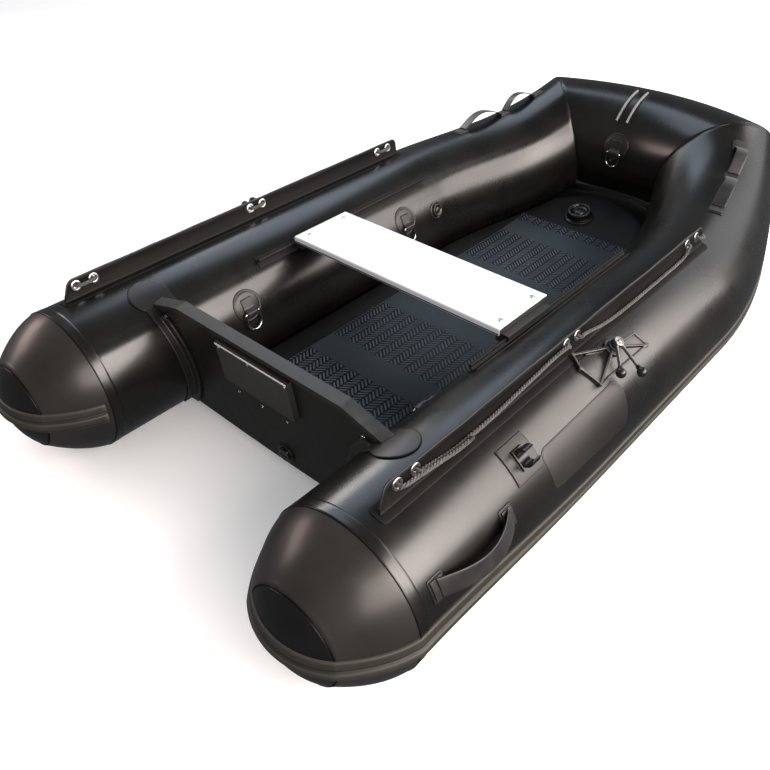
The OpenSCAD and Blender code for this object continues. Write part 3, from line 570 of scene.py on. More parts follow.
M = {}
M["tube"] = pvc("tube_fabric", (0.0050, 0.0047, 0.0042), (0.0095, 0.0086, 0.0076), 0.24, 0.36, 0.30)
# the cones are the tubes' fabric painted about three times lighter: painted light standing in for the light the cones
# catch
M["cone"] = pvc("cone_fabric_painted_lighter", (0.0165, 0.0150, 0.0135), (0.0250, 0.0225, 0.0205), 0.34, 0.46, 0.25)
M["cap"] = pvc("cap_rubber", (0.0035, 0.0035, 0.0037), (0.0075, 0.0072, 0.0072), 0.30, 0.42, 0.15, 0.05, 0.3)
# near-black lines: painted shade in the cone seam's groove and a painted shadow line round the cap
M["line"] = m_plastic("painted_shadow_line", (0.0012, 0.0012, 0.0012), (0.0030, 0.0030, 0.0030), 0.45, 0.6, 500, 0.2, 0.0, (0.004, 0.004, 0.004), 0.1, spec=0.2)
M["strap_patch"] = pvc("patch_fabric", (0.0100, 0.0095, 0.0090), (0.0175, 0.0160, 0.0150), 0.34, 0.46, 0.1, 0.14, 0.2)


def m_strake():
    n = Nodes("strake_rubber")
    a = n.noise(9, 5, 0.6)
    g = n.noise(420, 4, 0.6)
    e = n.edges(0.505, 0.56)
    col = n.mix(n.rng(a, 0.3, 0.7, 0, 1), (0.016, 0.0155, 0.0125), (0.026, 0.0245, 0.019))
    # ridges and edges painted a light warm grey: a painted highlight along the strake's ridges
    col = n.mix(n.math("MULTIPLY", e, 0.55), col, (0.10, 0.095, 0.082))
    nor = n.bump(g, 0.22, 0.00025, n.bump(a, 0.1, 0.001))
    return n.done(col, n.rng(g, 0.2, 0.8, 0.42, 0.60), nor, spec=0.45, coat=0.06, coat_rough=0.35)


def m_metal(name, c0, c1, r0=0.14, r1=0.30, brushed=True):
    n = Nodes(name)
    a = n.noise(70, 6, 0.65)
    v = n.mapping(n.co.outputs["Object"], (1, 14, 14)) if brushed else n.co.outputs["Object"]
    s = n.noise(160, 4, 0.6, v)
    col = n.mix(n.rng(a, 0.3, 0.75, 0, 1), c0, c1)
    col = n.mix(n.rng(n.noise(22, 6, 0.7), 0.6, 0.8, 0, 0.35), col, tuple(c*0.45 for c in c0))
    return n.done(col, n.rng(a, 0.25, 0.8, r0, r1), n.bump(s, 0.10, 0.00012), metallic=1.0)


def m_webbing():
    n = Nodes("webbing")
    uv = n.co.outputs["UV"]
    rib = n.wave(0.0032, "X", uv)
    cross = n.wave(0.0016, "Y", uv)
    h = n.math("ADD", n.math("MULTIPLY", rib, 0.6), n.math("MULTIPLY", cross, 0.6))
    a = n.noise(30, 5, 0.6)
    col = n.mix(n.rng(a, 0.3, 0.7, 0, 1), (0.006, 0.006, 0.0062), (0.014, 0.0135, 0.0132))
    col = n.mix(n.rng(h, 0.3, 1.1, 0, 0.5), col, (0.028, 0.027, 0.026))
    return n.done(col, n.rng(a, 0.3, 0.7, 0.30, 0.46), n.bump(h, 0.35, 0.0004), sheen=0.15, coat=0.12, coat_rough=0.25)


def m_rope():
    n = Nodes("rope")
    uv = n.co.outputs["UV"]
    s = n.mapping(uv, (1, 1, 1), (0, 0, math.radians(32)))
    fib = n.wave(0.0011, "Y", s, 1.5)
    a = n.noise(90, 5, 0.7)
    col = n.mix(n.rng(a, 0.3, 0.7, 0, 1), (0.070, 0.067, 0.062), (0.190, 0.182, 0.170))
    col = n.mix(n.rng(fib, 0.2, 0.9, 0, 0.7), n.mix(0.7, col, (0.006, 0.006, 0.006)), col)
    return n.done(col, n.rng(a, 0.3, 0.7, 0.50, 0.72), n.bump(fib, 0.5, 0.0004), sheen=0.35, sheen_rough=0.4)


def m_deck():
    """Drop-stitch floor: chevron grip pads between smooth athwart bands; more than 215 mm from the centre line the deck
    is plain and dark.
    """
    n = Nodes("deck_fabric")
    o = n.sep(n.co.outputs["Object"])
    x = n.math("ADD", o[0], XM/1000 - 0.347)
    y = o[1]
    ay = n.math("ABSOLUTE", y)
    per = 0.308
    f = n.math("FRACT", n.math("DIVIDE", x, per))
    fine = n.noise(260, 4, 0.6)
    # pads hold the first 70 per cent of each period
    pad = n.math("MULTIPLY", n.rng(f, 0.000, 0.006, 0, 1), n.rng(f, 0.700, 0.706, 1, 0))
    side = n.rng(ay, 0.2150, 0.2165, 1, 0)
    lim = n.rng(o[0], 0.60, 0.602, 1, 0)
    zone = n.math("MULTIPLY", n.math("MULTIPLY", pad, side), lim)
    band = n.math("MULTIPLY", n.math("MULTIPLY", n.math("SUBTRACT", 1.0, pad), side), lim)
    # chevron: short bars that change direction every 24 mm
    c = 0.0260
    k = n.math("PINGPONG", y, c)
    ph = n.math("ADD", n.math("MULTIPLY", x, 1.0), n.math("MULTIPLY", k, 0.85))
    bar = n.math("FRACT", n.math("DIVIDE", ph, 0.0130))
    bar = n.math("MULTIPLY", n.rng(bar, 0.08, 0.30, 0, 1), n.rng(bar, 0.62, 0.84, 1, 0))
    gap = n.math("MULTIPLY", n.rng(k, 0.0010, 0.0030, 0, 1), n.rng(k, c - 0.0030, c - 0.0010, 1, 0))
    bar = n.math("MULTIPLY", bar, gap)
    ribs = n.math("FRACT", n.math("DIVIDE", x, 0.0115))
    ribs = n.math("MULTIPLY", n.rng(ribs, 0.0, 0.12, 0, 1), n.rng(ribs, 0.86, 0.98, 1, 0))
    a = n.noise(7, 5, 0.6)
    base = n.mix(n.rng(a, 0.3, 0.7, 0, 1), (0.0060, 0.0066, 0.0076), (0.0110, 0.0118, 0.0130))
    padc = n.mix(bar, (0.0015, 0.0018, 0.0026), n.mix(n.rng(a, 0.3, 0.7, 0, 1), (0.0480, 0.0620, 0.0820), (0.0900, 0.1100, 0.1380)))
    bandc = n.mix(n.rng(a, 0.3, 0.7, 0, 1), (0.0290, 0.0410, 0.0490), (0.0420, 0.0570, 0.0670))
    bandc = n.mix(n.math("MULTIPLY", n.math("SUBTRACT", 1.0, ribs), 0.6), bandc, (0.009, 0.012, 0.016))
    col = n.mix(zone, base, padc)
    col = n.mix(band, col, bandc)
    h = n.math("ADD", n.math("MULTIPLY", n.math("MULTIPLY", bar, zone), 1.0), n.math("MULTIPLY", n.math("MULTIPLY", ribs, band), 0.35))
    nor = n.bump(fine, 0.15, 0.0002, n.bump(h, 1.0, 0.0016, n.bump(n.noise(9, 2, 0.5), 0.15, 0.002)))
    return n.done(col, n.rng(fine, 0.2, 0.8, 0.42, 0.58), nor, spec=0.38)


def m_board(name, c0, c1, r=(0.34, 0.5), speck=0.25):
    """Painted plywood with the fine stipple of a film face."""
    n = Nodes(name)
    a = n.noise(11, 6, 0.6)
    g = n.noise(520, 4, 0.7)
    grain = n.noise(14, 4, 0.6, n.mapping(n.co.outputs["Object"], (6, 1, 14)))
    e = n.edges(0.51, 0.60)
    col = n.mix(n.rng(a, 0.3, 0.7, 0, 1), c0, c1)
    # edges painted lighter: a painted highlight where the board's edges catch the light
    col = n.mix(n.math("MULTIPLY", e, 0.4), col, tuple(2.4*c for c in c1))
    nor = n.bump(g, speck, 0.00022, n.bump(grain, 0.10, 0.0007))
    return n.done(col, n.rng(a, 0.3, 0.72, *r), nor, spec=0.45, coat=0.05, coat_rough=0.3)


def m_thwart():
    n = Nodes("thwart_board")
    a = n.noise(6, 5, 0.6)
    v = n.mapping(n.co.outputs["Object"], (9, 0.7, 9))
    g = n.noise(60, 5, 0.6, v)
    o = n.sep(n.co.outputs["Object"])
    col = n.mix(n.rng(a, 0.3, 0.7, 0, 1), (0.53, 0.565, 0.605), (0.60, 0.625, 0.655))
    col = n.mix(n.rng(g, 0.5, 0.8, 0, 0.16), col, (0.42, 0.455, 0.50))
    scuff = n.noise(34, 7, 0.75, n.mapping(n.co.outputs["Object"], (3.2, 0.6, 1)))
    col = n.mix(n.rng(scuff, 0.68, 0.80, 0, 0.22), col, (0.36, 0.375, 0.39))
    return n.done(col, n.rng(g, 0.3, 0.75, 0.30, 0.46), n.bump(g, 0.10, 0.0004), spec=0.5, coat=0.15, coat_rough=0.25)


def m_rail_top():
    """Aluminium angle: faces turned upwards painted a lighter satin grey than the lips: painted highlight on the top
    face, painted shade on the lips.
    """
    n = Nodes("transom_rail")
    g = n.t.nodes.new("ShaderNodeNewGeometry")
    nz = n.sep(g.outputs["Normal"])[2]
    a = n.noise(24, 5, 0.6)
    # faces turned upwards take the lighter colour: painted highlight from the light above
    up = n.rng(nz, 0.55, 0.8, 0, 1)
    top = n.mix(n.rng(a, 0.3, 0.7, 0, 1), (0.026, 0.028, 0.029), (0.042, 0.045, 0.046))
    lip = n.mix(n.rng(a, 0.3, 0.7, 0, 1), (0.016, 0.016, 0.015), (0.026, 0.025, 0.023))
    col = n.mix(up, lip, top)
    return n.done(col, n.rng(a, 0.3, 0.7, 0.36, 0.52), n.bump(n.noise(600, 3, 0.6), 0.15, 0.00012), coat=0.05, coat_rough=0.25, spec=0.45)


M["strake"] = m_strake()
M["bottom"] = pvc("bottom_fabric", (0.0080, 0.0080, 0.0082), (0.0130, 0.0128, 0.0125), 0.36, 0.5, 0.05, 0.2, 0.5)
M["deck"] = m_deck()
M["board"] = m_board("transom_board_paint", (0.0095, 0.0085, 0.0070), (0.0145, 0.0130, 0.0106))
M["rail_top"] = m_rail_top()
M["pad"] = m_plastic("pad_plastic", (0.0060, 0.0058, 0.0050), (0.0100, 0.0095, 0.0084), 0.42, 0.56, 420, 0.5, 0.0, (0.07, 0.07, 0.066), 0.6, spec=0.3)
M["holder"] = pvc("holder_rubber", (0.0110, 0.0100, 0.0095), (0.0190, 0.0170, 0.0155), 0.32, 0.46, 0.15, 0.12, 0.2)
# fitting plastic: edges painted pale grey, a painted highlight on valves, rowlock balls and clips
M["fit"] = m_plastic("fitting_plastic", (0.0030, 0.0030, 0.0032), (0.0065, 0.0063, 0.0062), 0.22, 0.36, 900, 0.12, 0.35, (0.085, 0.082, 0.076), 0.55)
M["thwart"] = m_thwart()
M["channel"] = m_plastic("thwart_channel", (0.0100, 0.0100, 0.0102), (0.0170, 0.0168, 0.0165), 0.32, 0.46, 500, 0.15, 0.1, (0.09, 0.09, 0.088), 0.4)
M["strip"] = m_plastic("pad_strip", (0.30, 0.315, 0.33), (0.42, 0.435, 0.45), 0.3, 0.42, 500, 0.1, 0.15, (0.7, 0.7, 0.7), 0.3)
# rowlock moulding: rib edges painted light grey, a strong painted highlight on the ribs
M["hub"] = m_plastic("rowlock_moulding", (0.0110, 0.0108, 0.0104), (0.0240, 0.0232, 0.0220), 0.24, 0.36, 700, 0.15, 0.3, (0.26, 0.25, 0.235), 0.9)
M["rail"] = m_plastic("rail_plastic", (0.0060, 0.0058, 0.0055), (0.0100, 0.0095, 0.0090), 0.46, 0.60, 500, 0.15, 0.0, (0.030, 0.029, 0.027), 0.4, spec=0.25)
M["band"] = pvc("band_fabric", (0.0060, 0.0058, 0.0056), (0.0120, 0.0114, 0.0108), 0.52, 0.66, 0.0, 0.25, 0.4, spec=0.20)
M["eyelet"] = m_metal("grommet_metal", (0.46, 0.465, 0.47), (0.62, 0.625, 0.63), 0.24, 0.38, False)
M["rope"] = m_rope()
M["web"] = m_webbing()
M["steel"] = m_metal("ring_metal", (0.58, 0.58, 0.56), (0.78, 0.78, 0.75), 0.10, 0.22)
M["alu"] = m_metal("rowlock_metal", (0.22, 0.22, 0.215), (0.38, 0.38, 0.365), 0.26, 0.42)
M["thread"] = m_plastic("thread", (0.020, 0.020, 0.019), (0.045, 0.044, 0.042), 0.45, 0.6, 900, 0.3, 0.0, (0.1, 0.1, 0.1), 0.2)
# anchor line guide: edges painted pale grey, a painted highlight along its arcs
M["guide"] = m_plastic("guide_plastic", (0.10, 0.105, 0.11), (0.19, 0.195, 0.20), 0.28, 0.42, 500, 0.15, 0.2, (0.5, 0.5, 0.5), 0.6)


# ------------------------------------------------------------------ tubes
def tube_h(x, a):
    """Height of the skin over the plain tube: overlap at the cone seam, wrinkles beside the joins."""
    h = 0.85*smooth((x - 0.4)/1.0)*(1 - smooth((x - 24)/1.6))
    # long seam on the inboard shoulder, from the cone to the transom
    d = (a - 138.0)*math.pi/180*R
    h += 0.7*smooth((d + 11)/1.5)*(1 - smooth((d - 9)/1.5))*smooth((x - 24)/3)
    # pressure ripples fading away from the cone seam
    h += 0.35*math.exp(-max(x - 24, 0)/38)*math.sin(math.radians(a*11 + 40))*smooth(x/18)
    # folds running into the kink
    e = (X2 - x)/46.0
    if e < 5:
        w = math.exp(-max(e, 0))
        inner = 0.35 + 0.65*max(0.0, -cosd(a))
        h += -2.6*w*w*inner*(0.55 + 0.45*math.sin(math.radians(a*9))) + 0.6*w*math.sin(math.radians(a*14 + 25))
        h += -1.6*math.exp(-((X2 - x)/5.0)**2)
    return h


def side_ring(x, n=160):
    s = (x - X1)/(X2 - X1)
    c, t, nn, b, m = cl(s), cl_t(s), cl_n(s), cl_b(s), side_plane(s)
    out = []
    for i in range(n):
        a = 360*i/n
        q = (R + tube_h(x, a))*(cosd(a)*nn + sind(a)*b)
        out.append(c + q - t*((q @ m)/(t @ m)))
    return np.array(out)


xs_straight = np.concatenate([[0.0, 0.4, 0.9, 1.5, 4, 8, 12, 16, 20, 24, 24.6, 25.2, 25.8, 27, 31, 36, 42, 50, 60, 72, 86, 102, 120], np.arange(145, X1, 25), [X1]])
xs_quarter = np.concatenate([np.linspace(X1, X2 - 120, 42), np.linspace(X2 - 112, X2 - 16, 16), np.linspace(X2 - 12, X2, 7)])
p_side = Piece("side_tube")
loft(p_side, [side_ring(x) for x in np.concatenate([xs_straight, xs_quarter[1:]])])


def bow_h(v, a):
    e = (1 - abs(v))*Y2/46.0
    w = math.exp(-e)
    inner = 0.35 + 0.65*max(0.0, -cosd(a))
    h = -2.6*w*w*inner*(0.55 + 0.45*math.sin(math.radians(a*9))) + 0.6*w*math.sin(math.radians(a*14 + 25))
    h += -1.6*math.exp(-((1 - abs(v))*Y2/5.0)**2)
    return h


def bow_ring(v, n=160):
    c, t, nn, m = bl(v), bl_t(v), bl_n(v), bow_plane(v)
    out = []
    for i in range(n):
        a = 360*i/n
        q = (R + bow_h(v, a))*(cosd(a)*nn + sind(a)*np.array([0, 0, 1.0]))
        out.append(c + q - t*((q @ m)/(t @ m)))
    return np.array(out)


half = 1 - np.concatenate([np.linspace(0, 12, 7), np.linspace(16, 112, 14)[0:], np.linspace(124, Y2, 12)])/Y2
vs = np.concatenate([half, -half[::-1][1:]])
p_bow = Piece("bow_tube_skin")
loft(p_bow, [bow_ring(v) for v in vs])
p_bow.build([M["tube"]], replaces=["bow_tube"], slot="tube_fabric")


# ------------------------------------------------------------------ stern cones
def cone_r(k):
    return R + (CONE_E - R)*k + 48*k*(1 - k)


CAP_R = (CONE_E**2 + CAP_D**2)/(2*CAP_D)
CAP_A = math.degrees(math.asin(CONE_E/CAP_R))
ks = np.concatenate([[0], np.linspace(0.004, 0.93, 40), np.linspace(0.945, 1, 8)])
p_cone = Piece("cone")
n_c = 144
rings = []
for k in ks:
    ring = []
    for i in range(n_c):
        a = 360*i/n_c
        # gore panels make the cone very slightly flat between their seams
        g = 0.9*math.sin(math.pi*k)*(abs(math.sin(math.radians(a*3))) - 0.6)
        lip = -1.6*math.exp(-((k - 1.0)/0.016)**2) + 0.5*math.exp(-((k - 0.955)/0.02)**2)
        r = cone_r(k) + g + lip - 0.15
        ring.append([-CONE_L*k - (0.3 if k == 0 else 0)*0, WD + r*cosd(a), R + r*sind(a)])
    rings.append(ring)
loft(p_cone, rings)
p_cap = Piece("cap")
rings = []
for b in np.concatenate([[CAP_A], CAP_A - np.array([0.4, 0.9, 1.6, 2.6]), np.linspace(CAP_A - 4, 0.6, 26)]):
    rr, xx = CAP_R*sind(b), -CONE_L - CAP_D + CAP_R*(1 - cosd(b))
    e = CAP_A - b
    lift = -1.4*math.exp(-(e/0.7)**2)
    rings.append([[xx + lift, WD + (rr + lift)*cosd(360*i/n_c), R + (rr + lift)*sind(360*i/n_c)] for i in range(n_c)])
base = [[-CONE_L + 6, WD + (CONE_E - 3)*cosd(360*i/n_c), R + (CONE_E - 3)*sind(360*i/n_c)] for i in range(n_c)]
loft(p_cap, [base] + rings)

for side, sg in SIDES:
    mir = sg < 0
    p_side.build([M["tube"]], replaces=[side + "_tube", side + "_bow_quarter"], slot="tube_fabric", mirror=mir, name=side + "_tube_skin")
    p_cone.build([M["cone"]], replaces=[side + "_stern_cone"], slot="tube_fabric", mirror=mir, name=side + "_cone_skin")
    p_cap.build([M["cap"]], replaces=[side + "_end_cap"], slot="cap_rubber", mirror=mir, name=side + "_cap_skin")


# dark lines painted into the groove where the cone meets the tube and at the edge of the lap (painted shade), and a
# painted shadow line round the rubber cap
p_line = Piece("cone_shadow_line")
th = np.linspace(0, 2*math.pi, 180, endpoint=False)
for x, rr, q in ((0.1, R + 0.05, 1.15), (25.0, R + 0.0, 0.45)):
    sweep(p_line, np.stack([x + 0*th, WD + rr*np.cos(th), R + rr*np.sin(th)], -1), q, 8, closed=True)
sweep(p_line, np.stack([-CONE_L + 0.6 + 0*th, WD + (CONE_E + 0.1)*np.cos(th), R + (CONE_E + 0.1)*np.sin(th)], -1), 1.5, 8, closed=True)
for side, sg in SIDES:
    p_line.build([M["line"]], slot="cap_rubber", mirror=sg < 0, name=side + "_cone_shadow_line")


# ------------------------------------------------------------------ rubbing strake
CONE_F, STR_Z, STR_A = 0.62, 190.0, -12.0
Z0 = STR_Z - R


def plan_a(u):
    return lerp(CAP_A, math.degrees(math.asin(Z0/CAP_R)), (u - CONE_F)/(1 - CONE_F))


def mer(u):
    if u < CONE_F:
        k = u/CONE_F
        return np.array([-CONE_L*k, cone_r(k)]), unit([CONE_E - R + 48*(1 - 2*k), CONE_L])
    a = plan_a(u)
    return np.array([-CONE_L - CAP_D + CAP_R*(1 - cosd(a)), CAP_R*sind(a)]), np.array([-cosd(a), sind(a)])


def st_stern(u, sd):
    p, n = mer(u)
    y = math.sqrt(max(0, p[1]**2 - Z0**2))
    e = np.array([n[0], sd*n[1]*y/p[1], n[1]*Z0/p[1]])
    b = unit(np.array([0, 0, 1.0]) - e[2]*e)
    return np.array([p[0], WD + sd*y, STR_Z]), e, b, p[1]/n[1]


def st_tube(x):
    a = lerp(math.degrees(math.asin(Z0/R)), -12, float(smooth(x/640)))
    return np.array([x, WD + R*cosd(a), R + R*sind(a)]), np.array([0, cosd(a), sind(a)]), np.array([0, -sind(a), cosd(a)]), R


def st_quarter(s):
    return on_side(s, STR_A, 0), side_nrm(s, STR_A), side_tan(s, STR_A), R


def st_bow(v):
    nn, z = bl_n(v), np.array([0, 0, 1.0])
    e = cosd(STR_A)*nn + sind(STR_A)*z
    return bl(v) + R*e, e, -sind(STR_A)*nn + cosd(STR_A)*z, R


SEC = np.array([(-26, -2.2), (-26, 1.6), (-25.4, 2.9), (-23.5, 3.5), (-20, 3.9), (-17.4, 4.4), (-15.8, 6.2), (-14.2, 8.9), (-12.4, 10.2), (-9.5, 10.8), (-5, 11.0), (-1, 10.7),
                (1.8, 9.7), (3.4, 7.6), (4.6, 5.4), (6.0, 4.1), (7.6, 4.0), (9.2, 5.0), (11.5, 5.5), (16, 5.3), (21, 4.7), (24.4, 4.0), (25.6, 3.0), (26, 1.6), (26, -2.2)])


def str_ring(st):
    c, e, b, r = st
    q = SEC[:, 0]
    sag = r - np.sqrt(r*r - q*q)
    return c + (SEC[:, 1] - sag)[:, None]*e + q[:, None]*b


def sheared(ring, c, t, m):
    return ring - t*(((ring - c) @ m)/(t @ m))[:, None]


lap = np.linspace(0.06, 0.605, 24)
dome = CONE_F + (1 - CONE_F)*(1 - (1 - np.linspace(0, 1, 40))**1.15)
st = [st_stern(u, -1) for u in lap] + [st_stern(u, -1) for u in dome[:-1]] + [st_stern(1.0, 1)] + [st_stern(u, 1) for u in dome[:-1][::-1]] + [st_stern(u, 1) for u in lap[::-1]] + [st_stern(0.005, 1)]
rings = [str_ring(s) for s in st] + [str_ring(st_tube(x)) for x in np.concatenate([[1.5, 20], np.arange(40, 1250, 22)])]
for s in np.linspace(0, 1, 70):
    rings.append(sheared(str_ring(st_quarter(s)), cl(s), cl_t(s), side_plane(s)))
for v in (1 - np.linspace(0, 1, 40))[1:]:
    rings.append(sheared(str_ring(st_bow(v)), bl(v), bl_t(v), bow_plane(v)))
p_str = Piece("strake")
loft(p_str, rings)
for side, sg in SIDES:
    p_str.build([M["strake"]], replaces=[side + "_rubbing_strake"], slot="strake_rubber", mirror=sg < 0, name=side + "_strake_rubber", angle=50)


# ------------------------------------------------------------------ bottom and floor
AT_A = 229.5
KX = [250, 600, 900, 1300, 1500, 1650, 1800, 1900]
KZ = [38, 22, 10, 9, 20, 38, 72, 112]


def seam_pt(x):
    if x <= X1:
        return np.array([x, WD + (R + 0.6)*cosd(AT_A), R + (R + 0.6)*sind(AT_A)])
    return on_side((x - X1)/(X2 - X1), AT_A, 0.8)


def keel_z(x):
    # smooth keel through the listed heights
    w = sum(math.exp(-((x - q)/45)**2)*np.interp(q, KX, KZ) for q in np.arange(100, 2050, 15))
    return w/sum(math.exp(-((x - q)/45)**2) for q in np.arange(100, 2050, 15))


rings = []
for x0 in np.concatenate([[254, 258, 266], np.arange(280, 1900, 18), [1900]]):
    p = seam_pt(x0)
    x, y, z, k = p[0], p[1], p[2], keel_z(p[0])
    half_b = []
    for t in np.linspace(0, 1, 15):
        yy = y*t
        zz = lerp(k, z - 1.5, smooth((t - 0.02)/0.98)**1.25) - 0.0
        half_b.append((yy, zz))
    low = [(x, -a, b) for a, b in half_b[::-1]] + [(x, a, b) for a, b in half_b[1:]]
    top = [(x, y - 1, z + 2.5)] + [(x, (y - 6)*q, z + 4) for q in np.linspace(1, -1, 13)] + [(x, -y + 1, z + 2.5)]
    rings.append(low + top)
def bow_seam(v, h):
    q = (R + h)*(cosd(AT_A)*bl_n(v) + sind(AT_A)*np.array([0, 0, 1.0]))
    return tuple(bl(v) + q)


for f in (0.5, 1.0):
    last = np.array(rings[-1] if f < 1 else base_ring)
    if f < 1:
        base_ring = last
    goal = np.array([bow_seam(0.72*q, 4.0 + 5*(1 - q*q)) for q in np.linspace(-1, 1, 29)] + [bow_seam(0.72, 2.0)]
                    + [bow_seam(0.70*q, 0.4) for q in np.linspace(1, -1, 13)] + [bow_seam(-0.72, 2.0)])
    rings.append([tuple(q) for q in lerp(base_ring, goal, f)])
p_bot = Piece("hull_bottom_skin")
loft(p_bot, rings)
p_bot.build([M["bottom"]], replaces=["hull_bottom"], slot="bottom_fabric", angle=60)


def deck_z(x):
    return seam_pt(x)[2] + 5.6


def deck_hw(x):
    return seam_pt(x)[1] - 50 - 14*float(np.clip((x - X1)/500, 0, 1))


def deck_top(x):
    return deck_z(min(max(x, 280), 1770)) + 55


rings = []
for x in np.concatenate([[280, 282, 286, 292, 300], np.arange(315, 1770, 14), [1770, 1783, 1795, 1805, 1815, 1822, 1826]]):
    if x <= 1770:
        w, z = deck_hw(x), deck_z(x)
    else:
        w = deck_hw(1795)*float(np.interp(x, [1770, 1795, 1815, 1826], [deck_hw(1770)/deck_hw(1795), 0.84, 0.62, 0.3]))
        z = deck_z(1770) + (deck_z(x) - deck_z(1770))
    p = seam_pt(x)
    endk = 1 - min(1.0, (x - 280)/20.0)
    t, c = 55.0, 22.0
    pts = []
    for q in range(0, 7):       # round side, from the bottom up
        a = -90 + 30*q
        pts.append((w - c + c*cosd(a) if abs(a) < 90 else w - c, z + t/2 + (t/2 - 0.0)*sind(a)))
    inset = 9*endk**2
    sec = []
    for yy, zz in pts:
        sec.append((x, min(yy, w) - inset*0.3, z + t/2 + (zz - z - t/2)*(1 - 0.30*endk**2)))
    top = [(x, w - c - (w - c)*2*j/14, z + t/2 + t/2*(1 - 0.30*endk**2) + 1.2*math.sin(math.pi*j/14)) for j in range(1, 14)]
    left = [(x, -b, d) for _, b, d in sec[::-1]]
    bot = [(x, -(w - c) + (w - c)*2*j/6, z + t/2 - t/2*(1 - 0.30*endk**2)) for j in range(1, 6)]
    rings.append(sec + top + left + bot)
p_deck = Piece("deck_skin")
loft(p_deck, rings)
p_deck.build([M["deck"]], replaces=["floor_deck"], slot="deck_fabric", angle=60)

# ------------------------------------------------------------------ transom
RK = T(250, 0, 45) @ RY(-RAKE)


def soften(node, mats, width=1.2, seg=2, ang=35):
    """A CAD node keeps its shape and gets rounded edges from modifiers."""
    o = NODES[node]
    o.data.materials.clear()
    for m in mats:
        o.data.materials.append(m)
    w = o.modifiers.new("weld", "WELD")
    w.merge_threshold = 2e-5
    b = o.modifiers.new("bevel", "BEVEL")
    b.width, b.segments, b.limit_method, b.angle_limit = width/1000, seg, "ANGLE", math.radians(ang)
    b.harden_normals = False
    return o


soften("transom_board", [M["board"]], 2.0, 3)
soften("transom_top_rail", [M["rail_top"]], 1.2, 2)
soften("outer_motor_pad", [M["pad"]], 2.2, 3)
soften("inner_motor_pad", [M["pad"]], 1.6, 2)
soften("drain_valve", [M["fit"]], 0.8, 2)

AFT = RK @ RY(-90)          # local z points aft, x up the board, y to port
p = Piece("transom_screws")


def aft_at(y, v, u=0.0):
    return RK @ T(u, y, v) @ RY(-90)


def fwd_at(y, v, u=BOARD_T):
    return RK @ T(u, y, v) @ RY(90)


for y, v in ((340, 281), (-323, 282), (330, 250), (-330, 250)):
    screw(p, aft_at(y, v, 0.3), 4.6, 2.0, washer=7.5)
for y, v in ((108, 311), (-112, 311), (8, 311), (72, 192), (-10, 192), (-92, 192)):
    screw(p, aft_at(y, v, -14.8), 3.6, 1.8)
for y, v in ((100, 308), (-100, 308), (100, 222), (-100, 222), (0, 265)):
    screw(p, fwd_at(y, v, BOARD_T + 7.8), 4.6, 2.0, washer=7.5)
for y in (290, -290):
    for v in (80, 250):
        screw(p, fwd_at(y, v, BOARD_T - 0.3), 4.6, 2.0, washer=7.5)
p.build([M["steel"]], slot="ring_metal", angle=45)

# light metal strip along the top of the outer pad
p = Piece("pad_strip")
rbox(p, (-16.6, -118, HB - 20), (-14.4, 118, HB - 15.5), 0.7, RK)
p.build([M["strip"]], slot="transom_rail", angle=45)

# moulded ribs on the inner pad
p = Piece("pad_ribs")
for k in range(9):
    rbox(p, (BOARD_T + 7.4, -102, 222 + 10*k), (BOARD_T + 9.2, 102, 226 + 10*k), 0.8, RK)
p.build([M["pad"]], slot="pad_plastic", angle=45)


def remesh(node, name, voxel, it, mats, body="hull", pick=None, ratio=0.5):
    """Moulded copy of a CAD node: fine even mesh, edges softened."""
    me = NODES[node].data.copy()
    me.materials.clear()
    o = bpy.data.objects.new(name, me)
    bpy.context.scene.collection.objects.link(o)
    a = o.modifiers.new("r", "REMESH")
    a.mode, a.voxel_size, a.use_smooth_shade = "VOXEL", voxel/1000, True
    b = o.modifiers.new("s", "SMOOTH")
    b.factor, b.iterations = 0.5, it
    if ratio < 1:
        d = o.modifiers.new("d", "DECIMATE")
        d.ratio = ratio
    bpy.context.view_layer.update()
    new = bpy.data.meshes.new_from_object(o.evaluated_get(bpy.context.evaluated_depsgraph_get()))
    o.modifiers.clear()
    o.data = new
    new.name = name
    for m in mats:
        new.materials.append(m)
    if pick is not None:
        c = np.zeros(len(new.polygons)*3)
        new.polygons.foreach_get("center", c)
        new.polygons.foreach_set("material_index", pick(c.reshape(-1, 3)*1000 + [XM, 0, 0]).astype(np.int32))
    new.polygons.foreach_set("use_smooth", [True]*len(new.polygons))
    uv = new.uv_layers.new(name="UVMap") if not new.uv_layers else new.uv_layers[0]
    idx = np.zeros(len(new.loops), np.int32)
    new.loops.foreach_get("vertex_index", idx)
    co = np.zeros(len(new.vertices)*3)
    new.vertices.foreach_get("co", co)
    uv.data.foreach_set("uv", co.reshape(-1, 3)[idx][:, :2].astype(np.float32).ravel())
    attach(o, body)
    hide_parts(node)
    return o


for side, sg in SIDES:
    remesh(side + "_transom_holder", side + "_holder_skin", 1.6, 4, [M["holder"]], ratio=0.35)

